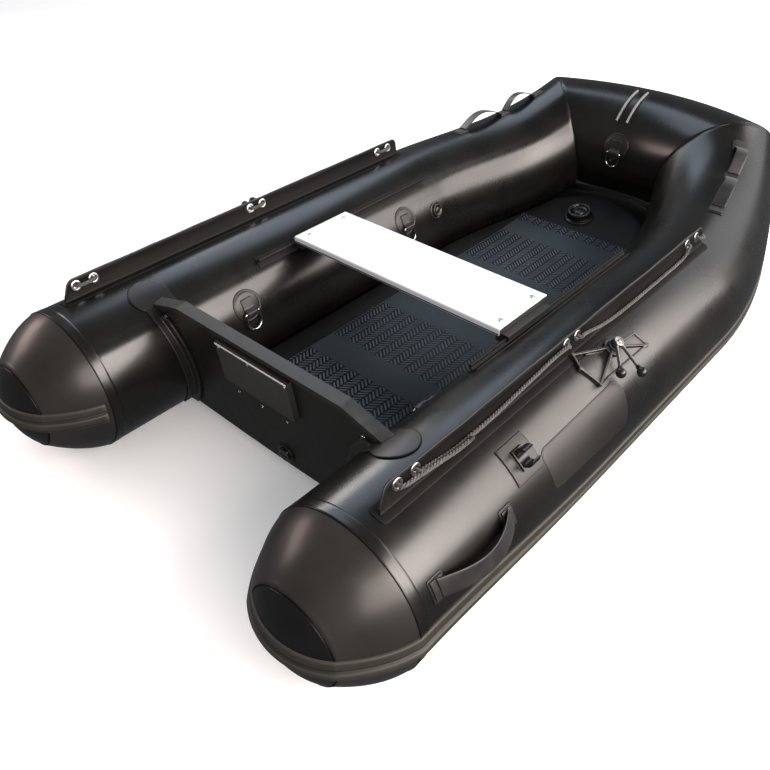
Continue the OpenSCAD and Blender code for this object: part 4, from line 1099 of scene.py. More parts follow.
# ------------------------------------------------------------------ thwart
soften("thwart_board", [M["thwart"]], 1.6, 3)
soften("thwart_channels", [M["channel"]], 1.0, 2)
for side, sg in SIDES:
    soften(side + "_thwart_rail", [M["rail"]], 0.8, 2)
p = Piece("thwart_trim")
for s in (-1, 1):
    for xx in (TH_X + 34, TH_X + TH_W - 34):
        screw(p, T(xx, s*(TH_HL - 22), TH_Z - 0.2), 4.6, 1.6, washer=6.5)
p.build([M["steel"]], body="thwart", slot="ring_metal", angle=45)
p = Piece("thwart_edge")
for xx in (TH_X - 0.4, TH_X + TH_W - 0.8):
    rbox(p, (xx, -TH_HL + 1, TH_Z - TH_T + 1.5), (xx + 1.2, TH_HL - 1, TH_Z - TH_T + 5.0), 0.5)
for s in (-1, 1):
    rbox(p, (TH_X + 2, s*TH_HL - 0.7, TH_Z - TH_T + 1.0), (TH_X + TH_W - 2, s*TH_HL + 0.7, TH_Z - 2.5), 0.6)
p.build([M["channel"]], body="thwart", slot="thwart_channel", angle=45)


# ------------------------------------------------------------------ lifeline bands, eyelets and ropes
PB = (1270.0, 0.0, (98, 146, 648, 692, 1180, 1230), 32.0)
SB = (1340.0, 20.0, (111, 160, 664, 708, 1250, 1303), 34.0)


def pair(x0, x1, g):
    return [(x0 - 2, 12, g - 2.5), (x0, 6, g), (x0, 0, g), (x0, -5.5, g), (x0 + 5, -10.5, g), (x1 - 5, -10.5, g), (x1, -5.5, g), (x1, 0, g), (x1, 6, g), (x1 + 2, 12, g - 2.5)]


PR = [(300, 17, 9), (250, 17, 9), (205, 17, 12), (160, 17, 19), (125, 17, 27), (104, 16, 31), (97, 12, 32)] + pair(98, 146, 32) + \
    [(158, 9, 25), (185, 8, 17), (220, 7.2, 10), (300, 7.2, 7.6), (400, 7.2, 7.6), (500, 7.2, 12), (580, 7.2, 21), (625, 9, 27), (641, 11, 30)] + pair(648, 692, 32) + \
    [(700, 11, 30), (715, 9, 25), (760, 7.2, 14), (820, 7.2, 7.6), (930, 7.2, 7.6), (1040, 7.2, 10), (1120, 7.2, 19), (1160, 9, 27), (1173, 11, 30)] + pair(1180, 1230, 32) + \
    [(1240, 12.5, 30), (1252, 10, 27)]
SR = [(310, 17, 16), (262, 17, 17), (216, 17, 23), (170, 17, 29), (135, 17, 33), (117, 16, 34), (110, 12, 34)] + pair(111, 160, 34) + \
    [(172, 9, 29), (202, 8, 23.7), (232, 7.2, 18), (263, 7.2, 14.4), (332, 7.2, 13.5), (395, 7.2, 14.9), (467, 7.2, 20.5), (524, 7.2, 25), (612, 7.6, 31.7), (645, 9.5, 33.5), (657, 11.5, 34)] + pair(664, 708, 34) + \
    [(718, 11, 33), (748, 8, 26.4), (790, 7.2, 17), (848, 7.2, 9.2), (945, 7.2, 5.6), (1035, 7.2, 5.6), (1117, 7.2, 5.6), (1197, 7.2, 6.4), (1225, 8, 11), (1240, 10, 22), (1246, 12, 30)] + pair(1250, 1303, 34) + \
    [(1312, 13, 32), (1324, 10, 29)]


def rope_pt(q, lean):
    y = q[1]*cosd(lean) - q[2]*sind(lean)
    z = q[1]*sind(lean) + q[2]*cosd(lean)
    c, s = cosd(BAND_A), sind(BAND_A)
    return [q[0], WD + (R + z)*c + y*s, R + (R + z)*s - y*c]


def band_top(x, L):
    """Top edge of the band from its aft end at x = -12."""
    return float(np.interp(x, [-12, 5, 12, 22, L - 12, L - 4, L], [9, BAND_H - 10, BAND_H - 3, BAND_H, BAND_H, BAND_H - 4, BAND_H - 12]))


def make_band(side, sg, b):
    L = b[0] - BX0
    Mb = skinM(BX0, BAND_A) @ RX(b[1])
    rng = np.random.default_rng(11 if sg > 0 else 23)
    ph = rng.uniform(0, 6.28, 4)
    xs = np.concatenate([np.linspace(-12, 24, 19)[:-1], np.arange(24, L - 14, 6.0), np.linspace(L - 14, L, 10)])
    rings = []
    for x in xs:
        zt = band_top(x, L)
        edge_wave = 0.9*math.sin(x/61 + ph[0]) + 0.6*math.sin(x/23 + ph[1])
        sec = []
        hem = min(9.0, zt*0.4)
        for z, y in [(1.0, 5.0), (2.0, 3.4), (4.0, 2.35), (8.0, 1.85), (zt*0.35 + 5, 1.7), (zt - hem - 1.2, 1.7), (zt - hem, 2.3), (zt - hem*0.55, 2.55), (zt - 1.6, 2.3), (zt - 0.35, 1.3)]:
            sec.append((z, y))
        pts = [(x, y, z) for z, y in sec] + [(x, 0, zt)] + [(x, -y, z) for z, y in sec[::-1]]
        pts = [(a, y + edge_wave*float(smooth((z - 40)/10)), z) for a, y, z in pts]
        rings.append(pts)
    p = Piece("band")
    loft(p, app(Mb, np.array(rings)))
    o = p.build([M["band"]], name=side + "_band_fabric", mirror=sg < 0, angle=60)
    # holes for the eyelets
    cut = Piece("cut")
    for x in b[2]:
        lathe(cut, [(8.4, -9), (8.4, 9)], skinM(x, BAND_A) @ RX(b[1]) @ T(0, 0, b[3]) @ RX(90), 32)
    c = cut.build([M["band"]], name="cut", mirror=sg < 0)
    m = o.modifiers.new("holes", "BOOLEAN")
    m.operation, m.object, m.solver = "DIFFERENCE", c, "EXACT"
    bpy.context.view_layer.update()
    new = bpy.data.meshes.new_from_object(o.evaluated_get(bpy.context.evaluated_depsgraph_get()))
    o.modifiers.clear()
    o.data = new
    bpy.data.objects.remove(c)
    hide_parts(side + "_lifeline_band")
    # glued flange under the band
    p = Piece("flange")
    rows = []
    x0, x1 = BX0 - 22, b[0] + 8
    for x in np.concatenate([x0 + 10*(1 - np.cos(np.linspace(0, math.pi/2, 7))), np.arange(x0 + 18, x1 - 12, 12), x1 - 10*(1 - np.cos(np.linspace(math.pi/2, 0, 7)))]):
        d = min(x - x0, x1 - x, 10)
        w = 22 - (10 - math.sqrt(max(0, 100 - (10 - d)**2)))
        top = [(-w, 0.1), (-w + 0.6, 1.2), (-w + 3, 1.8), (-7, 2.0), (7, 2.0), (w - 3, 1.8), (w - 0.6, 1.2), (w, 0.1)]
        rows.append([(x - x0, v, h) for v, h in top] + [(x - x0, w*0.6, -1.0), (x - x0, -w*0.6, -1.0)])
    loft(p, app(skinM(x0, BAND_A), wrap(np.array(rows))))
    p.build([M["band"]], name=side + "_band_flange", mirror=sg < 0, slot="band_fabric", angle=50)
    # bound top edge
    p = Piece("binding")
    P = np.array([(x, (0.9*math.sin(x/61 + ph[0]) + 0.6*math.sin(x/23 + ph[1]))*float(smooth((band_top(x, L) - 40)/10)), band_top(x, L) - 0.4) for x in np.linspace(-10, L - 1, 240)])
    sweep(p, app(Mb, P), 2.1, 8, start=(0, 0, 1))
    stitches(p, app(Mb, P[6:-4] + [0, 0, -6.2]) + 0, lambda c: np.repeat(app(Mb, [[0, 1, 0]]) - app(Mb, [[0, 0, 0]]), len(c), 0)*1.0, 3.4, 3.2, 0.35, mat=1)
    p.build([M["web"], M["thread"]], name=side + "_band_binding", mirror=sg < 0, slot="webbing")
    # eyelets
    p = Piece("eyelets")
    prof = [(7, -2.6), (7.3, -3.5), (8.6, -4.1), (10.5, -4.0), (12.6, -3.5), (13.8, -2.7), (13.9, -2.2), (12.8, -1.9), (9.6, -1.9), (8.6, 0), (9.6, 1.9), (12.8, 1.9), (13.9, 2.2), (13.8, 2.7), (12.6, 3.5), (10.5, 4.0), (8.6, 4.1), (7.3, 3.5), (7, 2.6)]
    for x in b[2]:
        lathe(p, prof, skinM(x, BAND_A) @ RX(b[1]) @ T(0, 0, b[3]) @ RX(90), 40, loop=True)
    p.build([M["eyelet"]], name=side + "_eyelets", mirror=sg < 0, replaces=[side + "_grommets"], slot="grommet_metal")


def make_rope(side, sg, route, lean):
    ctrl = np.array([rope_pt(q, lean) for q in route])
    c = catmull(ctrl, 2.0)
    c, L = resample(c, 2.4)
    t, u, w = frames_along(c)
    d = np.arange(len(c))*L/(len(c) - 1)
    pitch = 27.0
    p = Piece("rope")
    fade = np.minimum(1, np.minimum(d, L - d)/5 + 0.4)
    for k in range(3):
        a = 2*math.pi*(d/pitch + k/3)
        P = c + (2.15*fade)[:, None]*(np.cos(a)[:, None]*u + np.sin(a)[:, None]*w)
        sweep(p, P, 2.42*np.minimum(1, 0.75 + 0.25*fade), 8)
    # whipped tail at the aft end
    wd = np.linspace(0, 16, 40)
    k0 = np.array([np.interp(wd, d, c[:, i]) for i in range(3)]).T
    ku = np.array([np.interp(wd, d, u[:, i]) for i in range(3)]).T
    kw = np.array([np.interp(wd, d, w[:, i]) for i in range(3)]).T
    for s0 in (2.0,):
        a = np.linspace(0, 2*math.pi*8, 200)
        q = s0 + a/(2*math.pi)*1.5
        cc = np.array([np.interp(q, wd, k0[:, i]) for i in range(3)]).T
        uu = np.array([np.interp(q, wd, ku[:, i]) for i in range(3)]).T
        ww = np.array([np.interp(q, wd, kw[:, i]) for i in range(3)]).T
        sweep(p, cc + 4.4*(np.cos(a)[:, None]*uu + np.sin(a)[:, None]*ww), 0.8, 6, mat=1)
    # stopper knot at the forward end
    tt = np.linspace(0, 2*math.pi, 90, endpoint=False)
    K = np.stack([(2 + np.cos(3*tt))*np.cos(2*tt), (2 + np.cos(3*tt))*np.sin(2*tt), 1.3*np.sin(3*tt)], -1)*1.75
    e = c[-1] - 5.5*t[-1]
    K = e + K[:, :1]*u[-1] + K[:, 1:2]*w[-1] + K[:, 2:]*t[-1]
    sweep(p, K, 3.0, 10, closed=True)
    p.build([M["rope"], M["thread"]], name=side + "_rope", mirror=sg < 0, replaces=[side + "_lifeline"], slot="rope")
    return L


ROPE_LENGTHS = {}
for (side, sg), b, route in zip(SIDES, (PB, SB), (PR, SR)):
    make_band(side, sg, b)
    ROPE_LENGTHS[side] = make_rope(side, sg, route, b[1])
print("rope lengths mm", ROPE_LENGTHS)

# ------------------------------------------------------------------ rowlocks
RLX, RLA = 775.0, 63.0
RL = skinM(RLX, RLA)
FORK = RL @ RZ(30)
p_hub = Piece("fork")
lathe(p_hub, [(5.2, 8), (6, 9), (6, 22.6), (9.5, 22.6), (12, 22.9), (13, 24.0), (13, 36), (12.2, 37.2), (10.4, 37.6), (9.2, 37.4), (8.6, 36.2), (4.6, 36.2), (4.2, 37.6), (3.2, 38.2), (0.6, 38.4)], FORK, 48)
for s in (-1, 1):
    Ma = FORK @ T(s*5, 0, 31) @ RZ(-s*17) @ RX(-90)
    zz = np.concatenate([np.linspace(2, 16, 8), np.linspace(20, 72, 14)])
    rr = 3.6 + 2.6*np.exp(-(zz - 2)/7.5)
    sweep(p_hub, app(Ma, np.stack([0*zz, 0*zz, zz], -1)), rr, 16, squash=1.0)
p_ball = Piece("balls")
for s in (-1, 1):
    Ma = FORK @ T(s*5, 0, 31) @ RZ(-s*17) @ RX(-90)
    prof = [(3.9, 64), (4.6, 64.6), (5.0, 66), (5.2, 69), (5.6, 71.4)]
    for b_ in np.linspace(150, 2, 20):
        prof.append((11.5*sind(b_), 82 - 11.5*cosd(180 - b_) if False else 82 + 11.5*cosd(b_)))
    lathe(p_ball, prof, Ma, 36)
for side, sg in SIDES:
    remesh(side + "_rowlock_base", side + "_rowlock_base_moulding", 1.0, 2, [M["hub"]], ratio=0.5)
    p_hub.build([M["alu"]], body=side + "_rowlock", name=side + "_rowlock_fork", mirror=sg < 0, replaces=[side + "_rowlock"], slot="rowlock_metal", angle=50)
    p_ball.build([M["fit"]], body=side + "_rowlock", name=side + "_rowlock_balls", mirror=sg < 0, slot="fitting_plastic")

# ------------------------------------------------------------------ oar clips
OCX, OCA, CLR = 374.0, 50.0, 15.5


def oc_pick(c):
    y = np.abs(c[:, 1]) - WD
    z = c[:, 2] - R
    return np.hypot(y, z) > R + 3.2


for side, sg in SIDES:
    remesh(side + "_oar_clip", side + "_oar_clip_moulding", 0.9, 3, [M["strap_patch"], M["fit"]], pick=oc_pick, ratio=0.5)
# welded rim round the clip's patch, and screws
p = Piece("clip_trim")
Mo = skinM(OCX, OCA)
rim = densify(rounded([(-40, -39.5), (40, -39.5), (40, 39.5), (-40, 39.5)], 9), 4)
rim3 = app(Mo, wrap(np.column_stack([rim, np.full(len(rim), 2.3)])))
sweep(p, rim3, 0.8, 8, closed=True)
for x in (-24, 24):
    for y in (-15, 15):
        screw(p, Mo @ T(x*0.45, y*1.12, 7.6), 3.2, 1.2)
for side, sg in SIDES:
    p.build([M["fit"]], name=side + "_oar_clip_trim", mirror=sg < 0, slot="fitting_plastic")

# ------------------------------------------------------------------ webbing handles
HA0, HA1 = 66.0, 277.0


def arch(t):
    h = max(0.0, float(sind(180*t**1.2)))**0.8
    return np.array([lerp(HA0, HA1, t), 28 - 6.5*h, 4.5 + 19.5*h])


def strap_section(c, w, nrm, hw, t, k=4):
    """Flat strap section with rounded selvedges, t thick along nrm."""
    a = np.linspace(-90, 90, k + 1)
    out = []
    for x in np.linspace(-1, 1, 9)[1:-1]:
        out.append(c + x*(hw - t/2)*w)
    for b in a:
        out.append(c + (hw - t/2)*w + t/2*cosd(b)*w + (t/2 + t/2*sind(b))*nrm)
    for x in np.linspace(1, -1, 9)[1:-1]:
        out.append(c + x*(hw - t/2)*w + (t + 0.25*(1 - x*x))*nrm)
    for b in a[::-1]:
        out.append(c - (hw - t/2)*w - t/2*cosd(b)*w + (t/2 + t/2*sind(b))*nrm)
    return out


def arch_pt(t):
    q = arch(t)
    er, w = np.array([0, cosd(q[1]), sind(q[1])]), np.array([0, -sind(q[1]), cosd(q[1])])
    c = np.array([q[0], WD, R]) + (R + q[2])*er
    return q, c, er, w


p = Piece("carry")
rings = []
for t in np.concatenate([np.linspace(0, 0.12, 14)[:-1], np.linspace(0.12, 0.86, 40)[:-1], np.linspace(0.86, 1, 14)]):
    q, c, er, w = arch_pt(t)
    q2, q1 = arch(min(1, t + 0.01)), arch(max(0, t - 0.01))
    sl = unit([q2[0] - q1[0], q2[2] - q1[2]])
    nrm = sl[0]*er + np.array([-sl[1], 0, 0])
    rings.append(strap_section(c, w, nrm, 20 - 1.2*math.sin(math.pi*t), 3))
loft(p, rings)
pads = Piece("carry_pads")
for x0, x1, a0, a1 in ((46, 88, 20, 35.6), (256, 296, 20.5, 35.8)):
    am = (a0 + a1)/2
    hw = math.radians(a1 - a0)/2*R
    Mp = skinM((x0 + x1)/2, am)
    hx = (x1 - x0)/2
    box_ = [(-hx, -hw), (hx, -hw), (hx, hw), (-hx, hw)]
    to = lambda v, Mp=Mp: app(Mp, wrap(v))
    patch(pads, rounded(box_, 7), [(0.5, 1.2), (1.2, 2.0), (3.0, 2.3), (4.2, 1.9), (5.5, 2.1), (7, 2.3)], to)
    # folded strap end lying on the patch
    yk = -(28 - am)/180*math.pi*R
    tab = [(-hx + 5, yk - 19.5), (hx - 5, yk - 19.5), (hx - 5, yk + 19.5), (-hx + 5, yk + 19.5)]
    patch(p, rounded(tab, 2.0, 3), [(0.3, 4.6), (0.9, 5.3), (1.8, 5.5), (4, 5.45)], to, h0=1.5)
    nn = lambda c, Mp=Mp: unit(c - (np.array([0, WD, R]) + (c - np.array([0, WD, R]))*[1, 0, 0]))
    inn = rounded([(-hx + 8, yk - 16.5), (hx - 8, yk - 16.5), (hx - 8, yk + 16.5), (-hx + 8, yk + 16.5)], 1.0, 2)
    stitches(p, app(Mp, wrap(np.column_stack([inn, np.full(len(inn), 5.5)]))), nn, 3.2, 1.8, 0.4, mat=1, closed=True)
    for sgn in (-1, 1):
        line = np.column_stack([np.linspace(-hx + 9, hx - 9, 12), sgn*np.linspace(-15, 15, 12) + yk, np.full(12, 5.5)])
        stitches(p, app(Mp, wrap(line)), nn, 3.2, 1.8, 0.4, mat=1)
for side, sg in SIDES:
    p.build([M["web"], M["thread"]], name=side + "_carry_strap", mirror=sg < 0, replaces=[side + "_carry_handle"], slot="webbing")
    pads.build([M["strap_patch"]], name=side + "_carry_pads", mirror=sg < 0, slot="webbing")

BH_S = (0.40, 0.70, 0.93)


def bh_a(s):
    return 88.5 - 12.8*s


def bow_arch(s0, s1, t):
    s = lerp(s0, s1, t)
    return on_side(s, bh_a(s), 4.5 + 32*float(sind(180*t)))


p = Piece("bowh")
pads = Piece("bowh_pads")
for s in BH_S:
    def to(v, s=s):
        return np.array([on_side(s + u/702, bh_a(s) - math.degrees(w/R), h) for u, w, h in v])
    hx, hw = 0.034*702, math.radians(7)*R
    patch(pads, rounded([(-hx, -hw), (hx, -hw), (hx, hw), (-hx, hw)], 6), [(0.5, 1.6), (1.2, 2.6), (3.0, 3.0), (4.2, 2.6), (5.5, 2.8), (7, 3.0)], to)
    patch(p, rounded([(-hx + 5, -18.5), (hx - 5, -18.5), (hx - 5, 18.5), (-hx + 5, 18.5)], 2, 3), [(0.3, 3.8), (0.9, 4.5), (1.8, 4.7), (4, 4.6)], to, h0=1.5)
    inn = rounded([(-hx + 8, -15.5), (hx - 8, -15.5), (hx - 8, 15.5), (-hx + 8, 15.5)], 1.0, 2)
    stitches(p, to(np.column_stack([inn, np.full(len(inn), 4.7)])), lambda c, s=s: unit(c - cl(s)), 3.2, 1.8, 0.4, mat=1, closed=True)
for k in (0, 1):
    s0, s1 = BH_S[k] + 0.02, BH_S[k + 1] - 0.02
    rings = []
    for t in np.concatenate([np.linspace(0, 0.1, 8)[:-1], np.linspace(0.1, 0.9, 34)[:-1], np.linspace(0.9, 1, 8)]):
        c = bow_arch(s0, s1, t)
        d = unit(bow_arch(s0, s1, min(1, t + 0.02)) - bow_arch(s0, s1, max(0, t - 0.02)))
        s = lerp(s0, s1, t)
        w = side_tan(s, bh_a(s))
        nrm = unit(np.cross(w, d))
        rings.append(strap_section(c, w, nrm, 19 - 1.0*math.sin(math.pi*t), 3))
    loft(p, rings)
for side, sg in SIDES:
    p.build([M["web"], M["thread"]], name=side + "_bow_strap", mirror=sg < 0, replaces=[side + "_bow_handle"], slot="webbing")
    pads.build([M["strap_patch"]], name=side + "_bow_strap_pads", mirror=sg < 0, slot="webbing")

# ------------------------------------------------------------------ ring patches and rings
PIV_A, PIV_H = 161.0, 11.0
DISC = [(0.4, 0.9), (1.0, 1.7), (2.6, 2.2), (4.6, 2.2), (5.6, 1.5), (6.6, 1.5), (7.8, 2.1), (12, 2.4), (20, 2.7), (30, 2.9)]


def ring_patch(pc, Mf, g, h):
    to = lambda v: app(Mf, wrap(v))
    circ = np.array([(44*cosd(a), 19.5 + 44*sind(a)) for a in range(0, 360, 6)])
    patch(pc, circ, [(d, e + g*0 + (g if g else 0)) for d, e in DISC], to, mat=0, h0=-1.0 if not g else g - 2.2, step=3.0)
    # strap down to the bar and round it
    sec = [(39.2, 1.4), (39.8, 3.2), (38.9, 4.6), (36, 5.0), (28, 5.2), (16, 5.3), (10, 6.0), (7.2, h - 1.5)]
    for a in np.linspace(20, 268, 22):
        sec.append((6.2*cosd(a), h - g*0 + 6.2*sind(a)))
    sec += [(2, 2.0), (14, 1.2)]
    sec = [(v, q + (g if q < h - 3 and v > -3.0 and a_ in () else 0)) for a_, (v, q) in enumerate(sec)]
    rings = []
    for x, k in ((-17, 0.72), (-16.6, 0.9), (-15.8, 1.0), (-9, 1.02), (0, 1.03), (9, 1.02), (15.8, 1.0), (16.6, 0.9), (17, 0.72)):
        cen = np.array([12.0, 4.0])
        ring = []
        for v, q in sec:
            # selvedge pulled in slightly at both ends
            e = (1 - k)*1.6
            d = np.array([v, q]) - cen
            dn = np.linalg.norm(d)
            q2 = np.array([v, q]) - d/dn*e
            ring.append((x, q2[0], q2[1] + (g if q2[1] < 5.6 else 0)))
        rings.append(ring)
    loft(pc, to(np.array(rings)), mat=1)
    inn = [(-13.5, 12.5), (13.5, 12.5), (13.5, 35.5), (-13.5, 35.5)]
    nz = unit(app(Mf, [0, 0, 1.0]) - app(Mf, [0, 0, 0]))
    stitches(pc, to(np.column_stack([densify(np.array(inn), 4), np.full(len(densify(np.array(inn), 4)), 5.35 + g)])), lambda c: np.repeat(nz[None], len(c), 0), 3.0, 1.6, 0.4, mat=2, closed=True)


p = Piece("patches")
for x in (440, 1080):
    ring_patch(p, skinM(x, PIV_A), 0, PIV_H)
for side, sg in SIDES:
    p.build([M["strap_patch"], M["web"], M["thread"]], name=side + "_ring_patch_set", mirror=sg < 0, replaces=[side + "_ring_patches"], slot="tube_fabric")
p = Piece("bow_patch_set")
ring_patch(p, bowM(26, 172), 2.4, PIV_H + 3)
p.build([M["strap_patch"], M["web"], M["thread"]], replaces=["bow_ring_patch"], slot="tube_fabric")
p = Piece("tow_patch_set")
ring_patch(p, bowM(0, -40), 0.6, PIV_H + 3)
p.build([M["strap_patch"], M["web"], M["thread"]], replaces=["tow_ring_patch"], slot="tube_fabric")


def dring(Mf):
    pts = []
    cr = 4.0
    for a in np.linspace(0, 90, 7):
        pts.append((23 - cr + cr*sind(a), -cr + cr*cosd(a)))
    pts += [(23, y) for y in np.linspace(-7, -25, 8)]
    for a in np.linspace(0, -180, 40)[1:]:
        pts.append((23*cosd(a), -25 + 23*sind(a)))
    pts += [(-23, y) for y in np.linspace(-22, -7, 7)]
    for a in np.linspace(-90, 0, 7):
        pts.append((-23 + cr + cr*sind(a), -cr + cr*cosd(a)))
    pts += [(x, 0) for x in np.linspace(-16, 16, 12)]
    P = np.array([(a, b, 0) for a, b in pts])
    pc = Piece("ring")
    sweep(pc, app(Mf, P), 3.0, 14, closed=True, start=Mf[:3, 2])
    return pc


for (nm, x) in (("aft", 440), ("mid", 1080)):
    pc = dring(skinM(x, PIV_A) @ T(0, 0, PIV_H) @ RX(7))
    for side, sg in SIDES:
        pc.build([M["steel"]], body=f"{side}_{nm}_ring", name=f"{side}_{nm}_ring_rod", mirror=sg < 0, replaces=[f"{side}_{nm}_ring"], slot="ring_metal")
dring(bowM(26, 172) @ T(0, 0, PIV_H + 3) @ RX(7)).build([M["steel"]], body="bow_inner_ring", name="bow_inner_ring_rod", replaces=["bow_inner_ring"], slot="ring_metal")
dring(bowM(0, -40) @ T(0, 0, PIV_H + 3) @ RX(-40)).build([M["steel"]], body="tow_ring", name="tow_ring_rod", replaces=["tow_ring"], slot="ring_metal")


# ------------------------------------------------------------------ valves
def knurl(n, depth, r_at, z0, z1):
    def f(r, z, a):
        if abs(r - r_at) < 0.8 and z0 < z < z1:
            return r - depth*max(0.0, math.cos(n*a))**2
        return r
    return f


p = Piece("air_valve")
Mv = T(1225, WD, R) @ RX(70) @ T(0, 0, R - 3)
lathe(p, [(25, -1), (26.6, 0.2), (27, 2), (27, 4.2), (26.3, 5.0), (24.5, 5.4), (22.4, 5.2), (21.4, 4.4), (20.8, 4.2), (20, 5.0), (20, 7), (20, 9), (20, 11.4), (19.4, 12.6), (18.2, 13.0), (15.4, 13.0), (14.4, 12.4),
          (13.6, 11.4), (10, 11.2), (9.4, 12.4), (8.6, 13.2), (5, 13.6), (1, 13.7)], Mv, 96, mod=knurl(12, 1.3, 20, 4.6, 12))
for side, sg in SIDES:
    p.build([M["fit"]], name=side + "_air_valve_cap", mirror=sg < 0, replaces=[side + "_air_valve"], slot="fitting_plastic", angle=50)
zA, zB = deck_z(1640), deck_z(1770)
Md = T(1705, 40, lerp(zA, zB, 0.5) + 55.1) @ RY(-math.degrees(math.atan((zB - zA)/130)))
p = Piece("deck_valve_cap")
lathe(p, [(48, -2), (49.6, 0.2), (50, 2), (50, 4.6), (49, 5.8), (46.5, 6.2), (42, 6.2), (40.8, 7.0), (40, 8.2), (40, 12), (40, 18), (40, 24), (39.8, 27.4), (38.6, 29.2), (36.4, 30), (33, 29.9), (31.6, 28.6), (30.6, 25), (29, 23.4),
          (20, 23.0), (18.8, 24.6), (17, 26.6), (12, 27.2), (2, 27.4)], Md, 120, mod=knurl(24, 1.2, 40, 7.5, 27))
p.build([M["fit"]], replaces=["deck_valve"], slot="fitting_plastic", angle=50)

# ------------------------------------------------------------------ blank side patches
out = rounded([(421, -30), (426, -45), (438, -50), (716, -53), (728, -44), (737, -19), (728, 36), (720, 53), (704, 58), (446, 46), (430, 42), (426, 30)], 5, 3)
p = Piece("side_patch")
patch(p, out, [(0.5, 0.8), (1.2, 1.15), (3.5, 1.25), (5.0, 0.85), (6.4, 0.9), (7.5, 1.15), (12, 1.2)], lambda v: app(skinM(0, 30), wrap(v)), h0=-1.0, inner=10)
for side, sg in SIDES:
    p.build([M["strap_patch"]], name=side + "_blank_patch", mirror=sg < 0, replaces=[side + "_side_patch"], slot="tube_fabric")

soften("anchor_line_guide", [M["guide"]], 1.2, 3)

# ------------------------------------------------------------------ camera, light, floor
AZ, EL, ROLL = 0.7362, 0.6761, -0.010
fwd = np.array([math.cos(AZ)*math.cos(EL), math.sin(AZ)*math.cos(EL), -math.sin(EL)])
right = np.array([math.sin(AZ), -math.cos(AZ), 0])
up = np.cross(right, fwd)
r2 = right*math.cos(ROLL) + up*math.sin(ROLL)
u2 = -right*math.sin(ROLL) + up*math.cos(ROLL)
cam = bpy.data.objects.new("camera", bpy.data.cameras.new("camera"))
cam.data.lens, cam.data.sensor_width = 36.456, 36.0
cam.matrix_world = Matrix([[r2[i], u2[i], -fwd[i], [-0.6065 - XM/1000, -1.1293, 1.3846][i]] for i in range(3)] + [[0, 0, 0, 1]])
cam.data.clip_start, cam.data.clip_end = 0.05, 60
bpy.context.scene.collection.objects.link(cam)
bpy.context.scene.camera = cam


def stage_object(name, verts, faces, mat):
    me = bpy.data.meshes.new(name)
    me.from_pydata(verts, [], faces)
    me.materials.append(mat)
    o = bpy.data.objects.new(name, me)
    bpy.context.scene.collection.objects.link(o)
    o.visible_glossy = False
    return o


n = Nodes("floor_paper")
a = n.noise(0.8, 3, 0.5)
stage_object("floor", [(-30, -30, -0.0005), (30, -30, -0.0005), (30, 30, -0.0005), (-30, 30, -0.0005)], [(0, 1, 2, 3)],
             n.done(n.mix(n.rng(a, 0.3, 0.7, 0, 1), (0.80, 0.80, 0.80), (0.82, 0.82, 0.82)), 0.85, spec=0.1))
n.p.inputs["Emission Color"].default_value = (1, 1, 1, 1)
n.p.inputs["Emission Strength"].default_value = 0.22


def area(name, pos, target, size, power, color, spread=180):
    d = bpy.data.lights.new(name, "AREA")
    d.shape, d.size, d.size_y, d.energy, d.color = "RECTANGLE", size[0], size[1], power, color
    d.spread = math.radians(spread)
    o = bpy.data.objects.new(name, d)
    o.location = pos
    o.rotation_mode = "QUATERNION"
    o.rotation_quaternion = (Vector(target) - Vector(pos)).to_track_quat("-Z", "Y")
    bpy.context.scene.collection.objects.link(o)
    return o


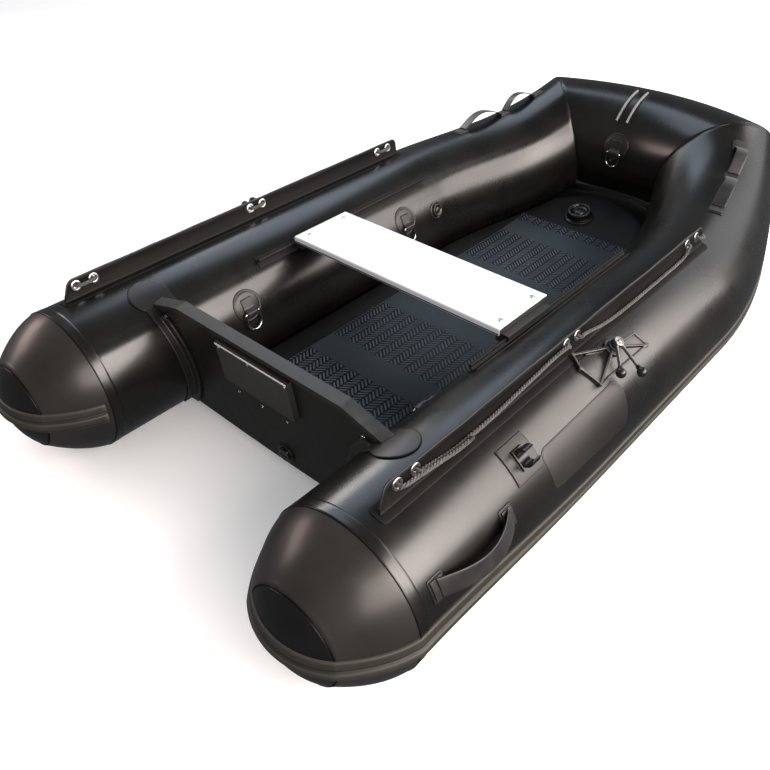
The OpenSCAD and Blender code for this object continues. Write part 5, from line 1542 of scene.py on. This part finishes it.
# broad warm panel forward on the starboard side, a lower one aft of it, cool panel forward to port, small reddish one to port
area("key_soft", (2.4, -3.6, 2.5), (0, 0, 0.2), (3.8, 3.4), 265, (1.0, 0.91, 0.86))
area("bow_soft", (4.6, -1.2, 2.4), (0.8, -0.2, 0.2), (3.0, 2.6), 30, (0.96, 0.97, 1.0))
area("mid_soft", (0.25, -4.1, 2.4), (-0.3, 0, 0.2), (2.6, 2.8), 165, (1.0, 0.90, 0.85))
area("aft_soft", (-2.1, -3.9, 2.6), (-0.8, 0, 0.2), (2.9, 2.6), 150, (1.0, 0.88, 0.82))
area("cool_soft", (1.9, 2.4, 3.4), (0, 0, 0.2), (2.5, 2.3), 44, (0.74, 0.86, 1.0))
area("port_soft", (1.36, 3.5, 2.15), (-0.5, 0, 0.2), (1.2, 1.2), 30, (1.0, 0.95, 0.93))
area("stern_soft", (-2.0, 3.6, 1.9), (-0.9, 0, 0.2), (2.3, 1.3), 52, (1.0, 0.80, 0.74))
# pale surround that lights the floor evenly, open to mirror-like rays so the dark rubber keeps its depth
seg, lat, rad = 32, 8, 28.0
verts = [(rad*math.cos(2*math.pi*i/seg)*math.cos(0.5*math.pi*k/lat), rad*math.sin(2*math.pi*i/seg)*math.cos(0.5*math.pi*k/lat), rad*math.sin(0.5*math.pi*k/lat) - 0.2)
         for k in range(lat) for i in range(seg)] + [(0, 0, rad - 0.2)]
faces = [(k*seg + i, k*seg + (i + 1) % seg, (k + 1)*seg + (i + 1) % seg, (k + 1)*seg + i) for k in range(lat - 1) for i in range(seg)]
faces += [((lat - 1)*seg + i, (lat - 1)*seg + (i + 1) % seg, lat*seg) for i in range(seg)]
n = Nodes("surround")
n.p.inputs["Base Color"].default_value = (0, 0, 0, 1)
n.p.inputs["Specular IOR Level"].default_value = 0.0
n.p.inputs["Emission Color"].default_value = (0.97, 0.98, 1.0, 1)
n.p.inputs["Emission Strength"].default_value = 0.70
stage_object("surround", verts, faces, n.m)
w = bpy.data.worlds.new("studio")
bpy.context.scene.world = w
w.use_nodes = True
bg = w.node_tree.nodes["Background"]
bg.inputs["Color"].default_value = (0.90, 0.95, 1.0, 1)
bg.inputs["Strength"].default_value = 0.16
bpy.context.scene.view_settings.view_transform = "Standard"
bpy.context.scene.view_settings.look = "None"
bpy.context.scene.view_settings.exposure = 0.0
bpy.context.scene.view_settings.gamma = 0.88
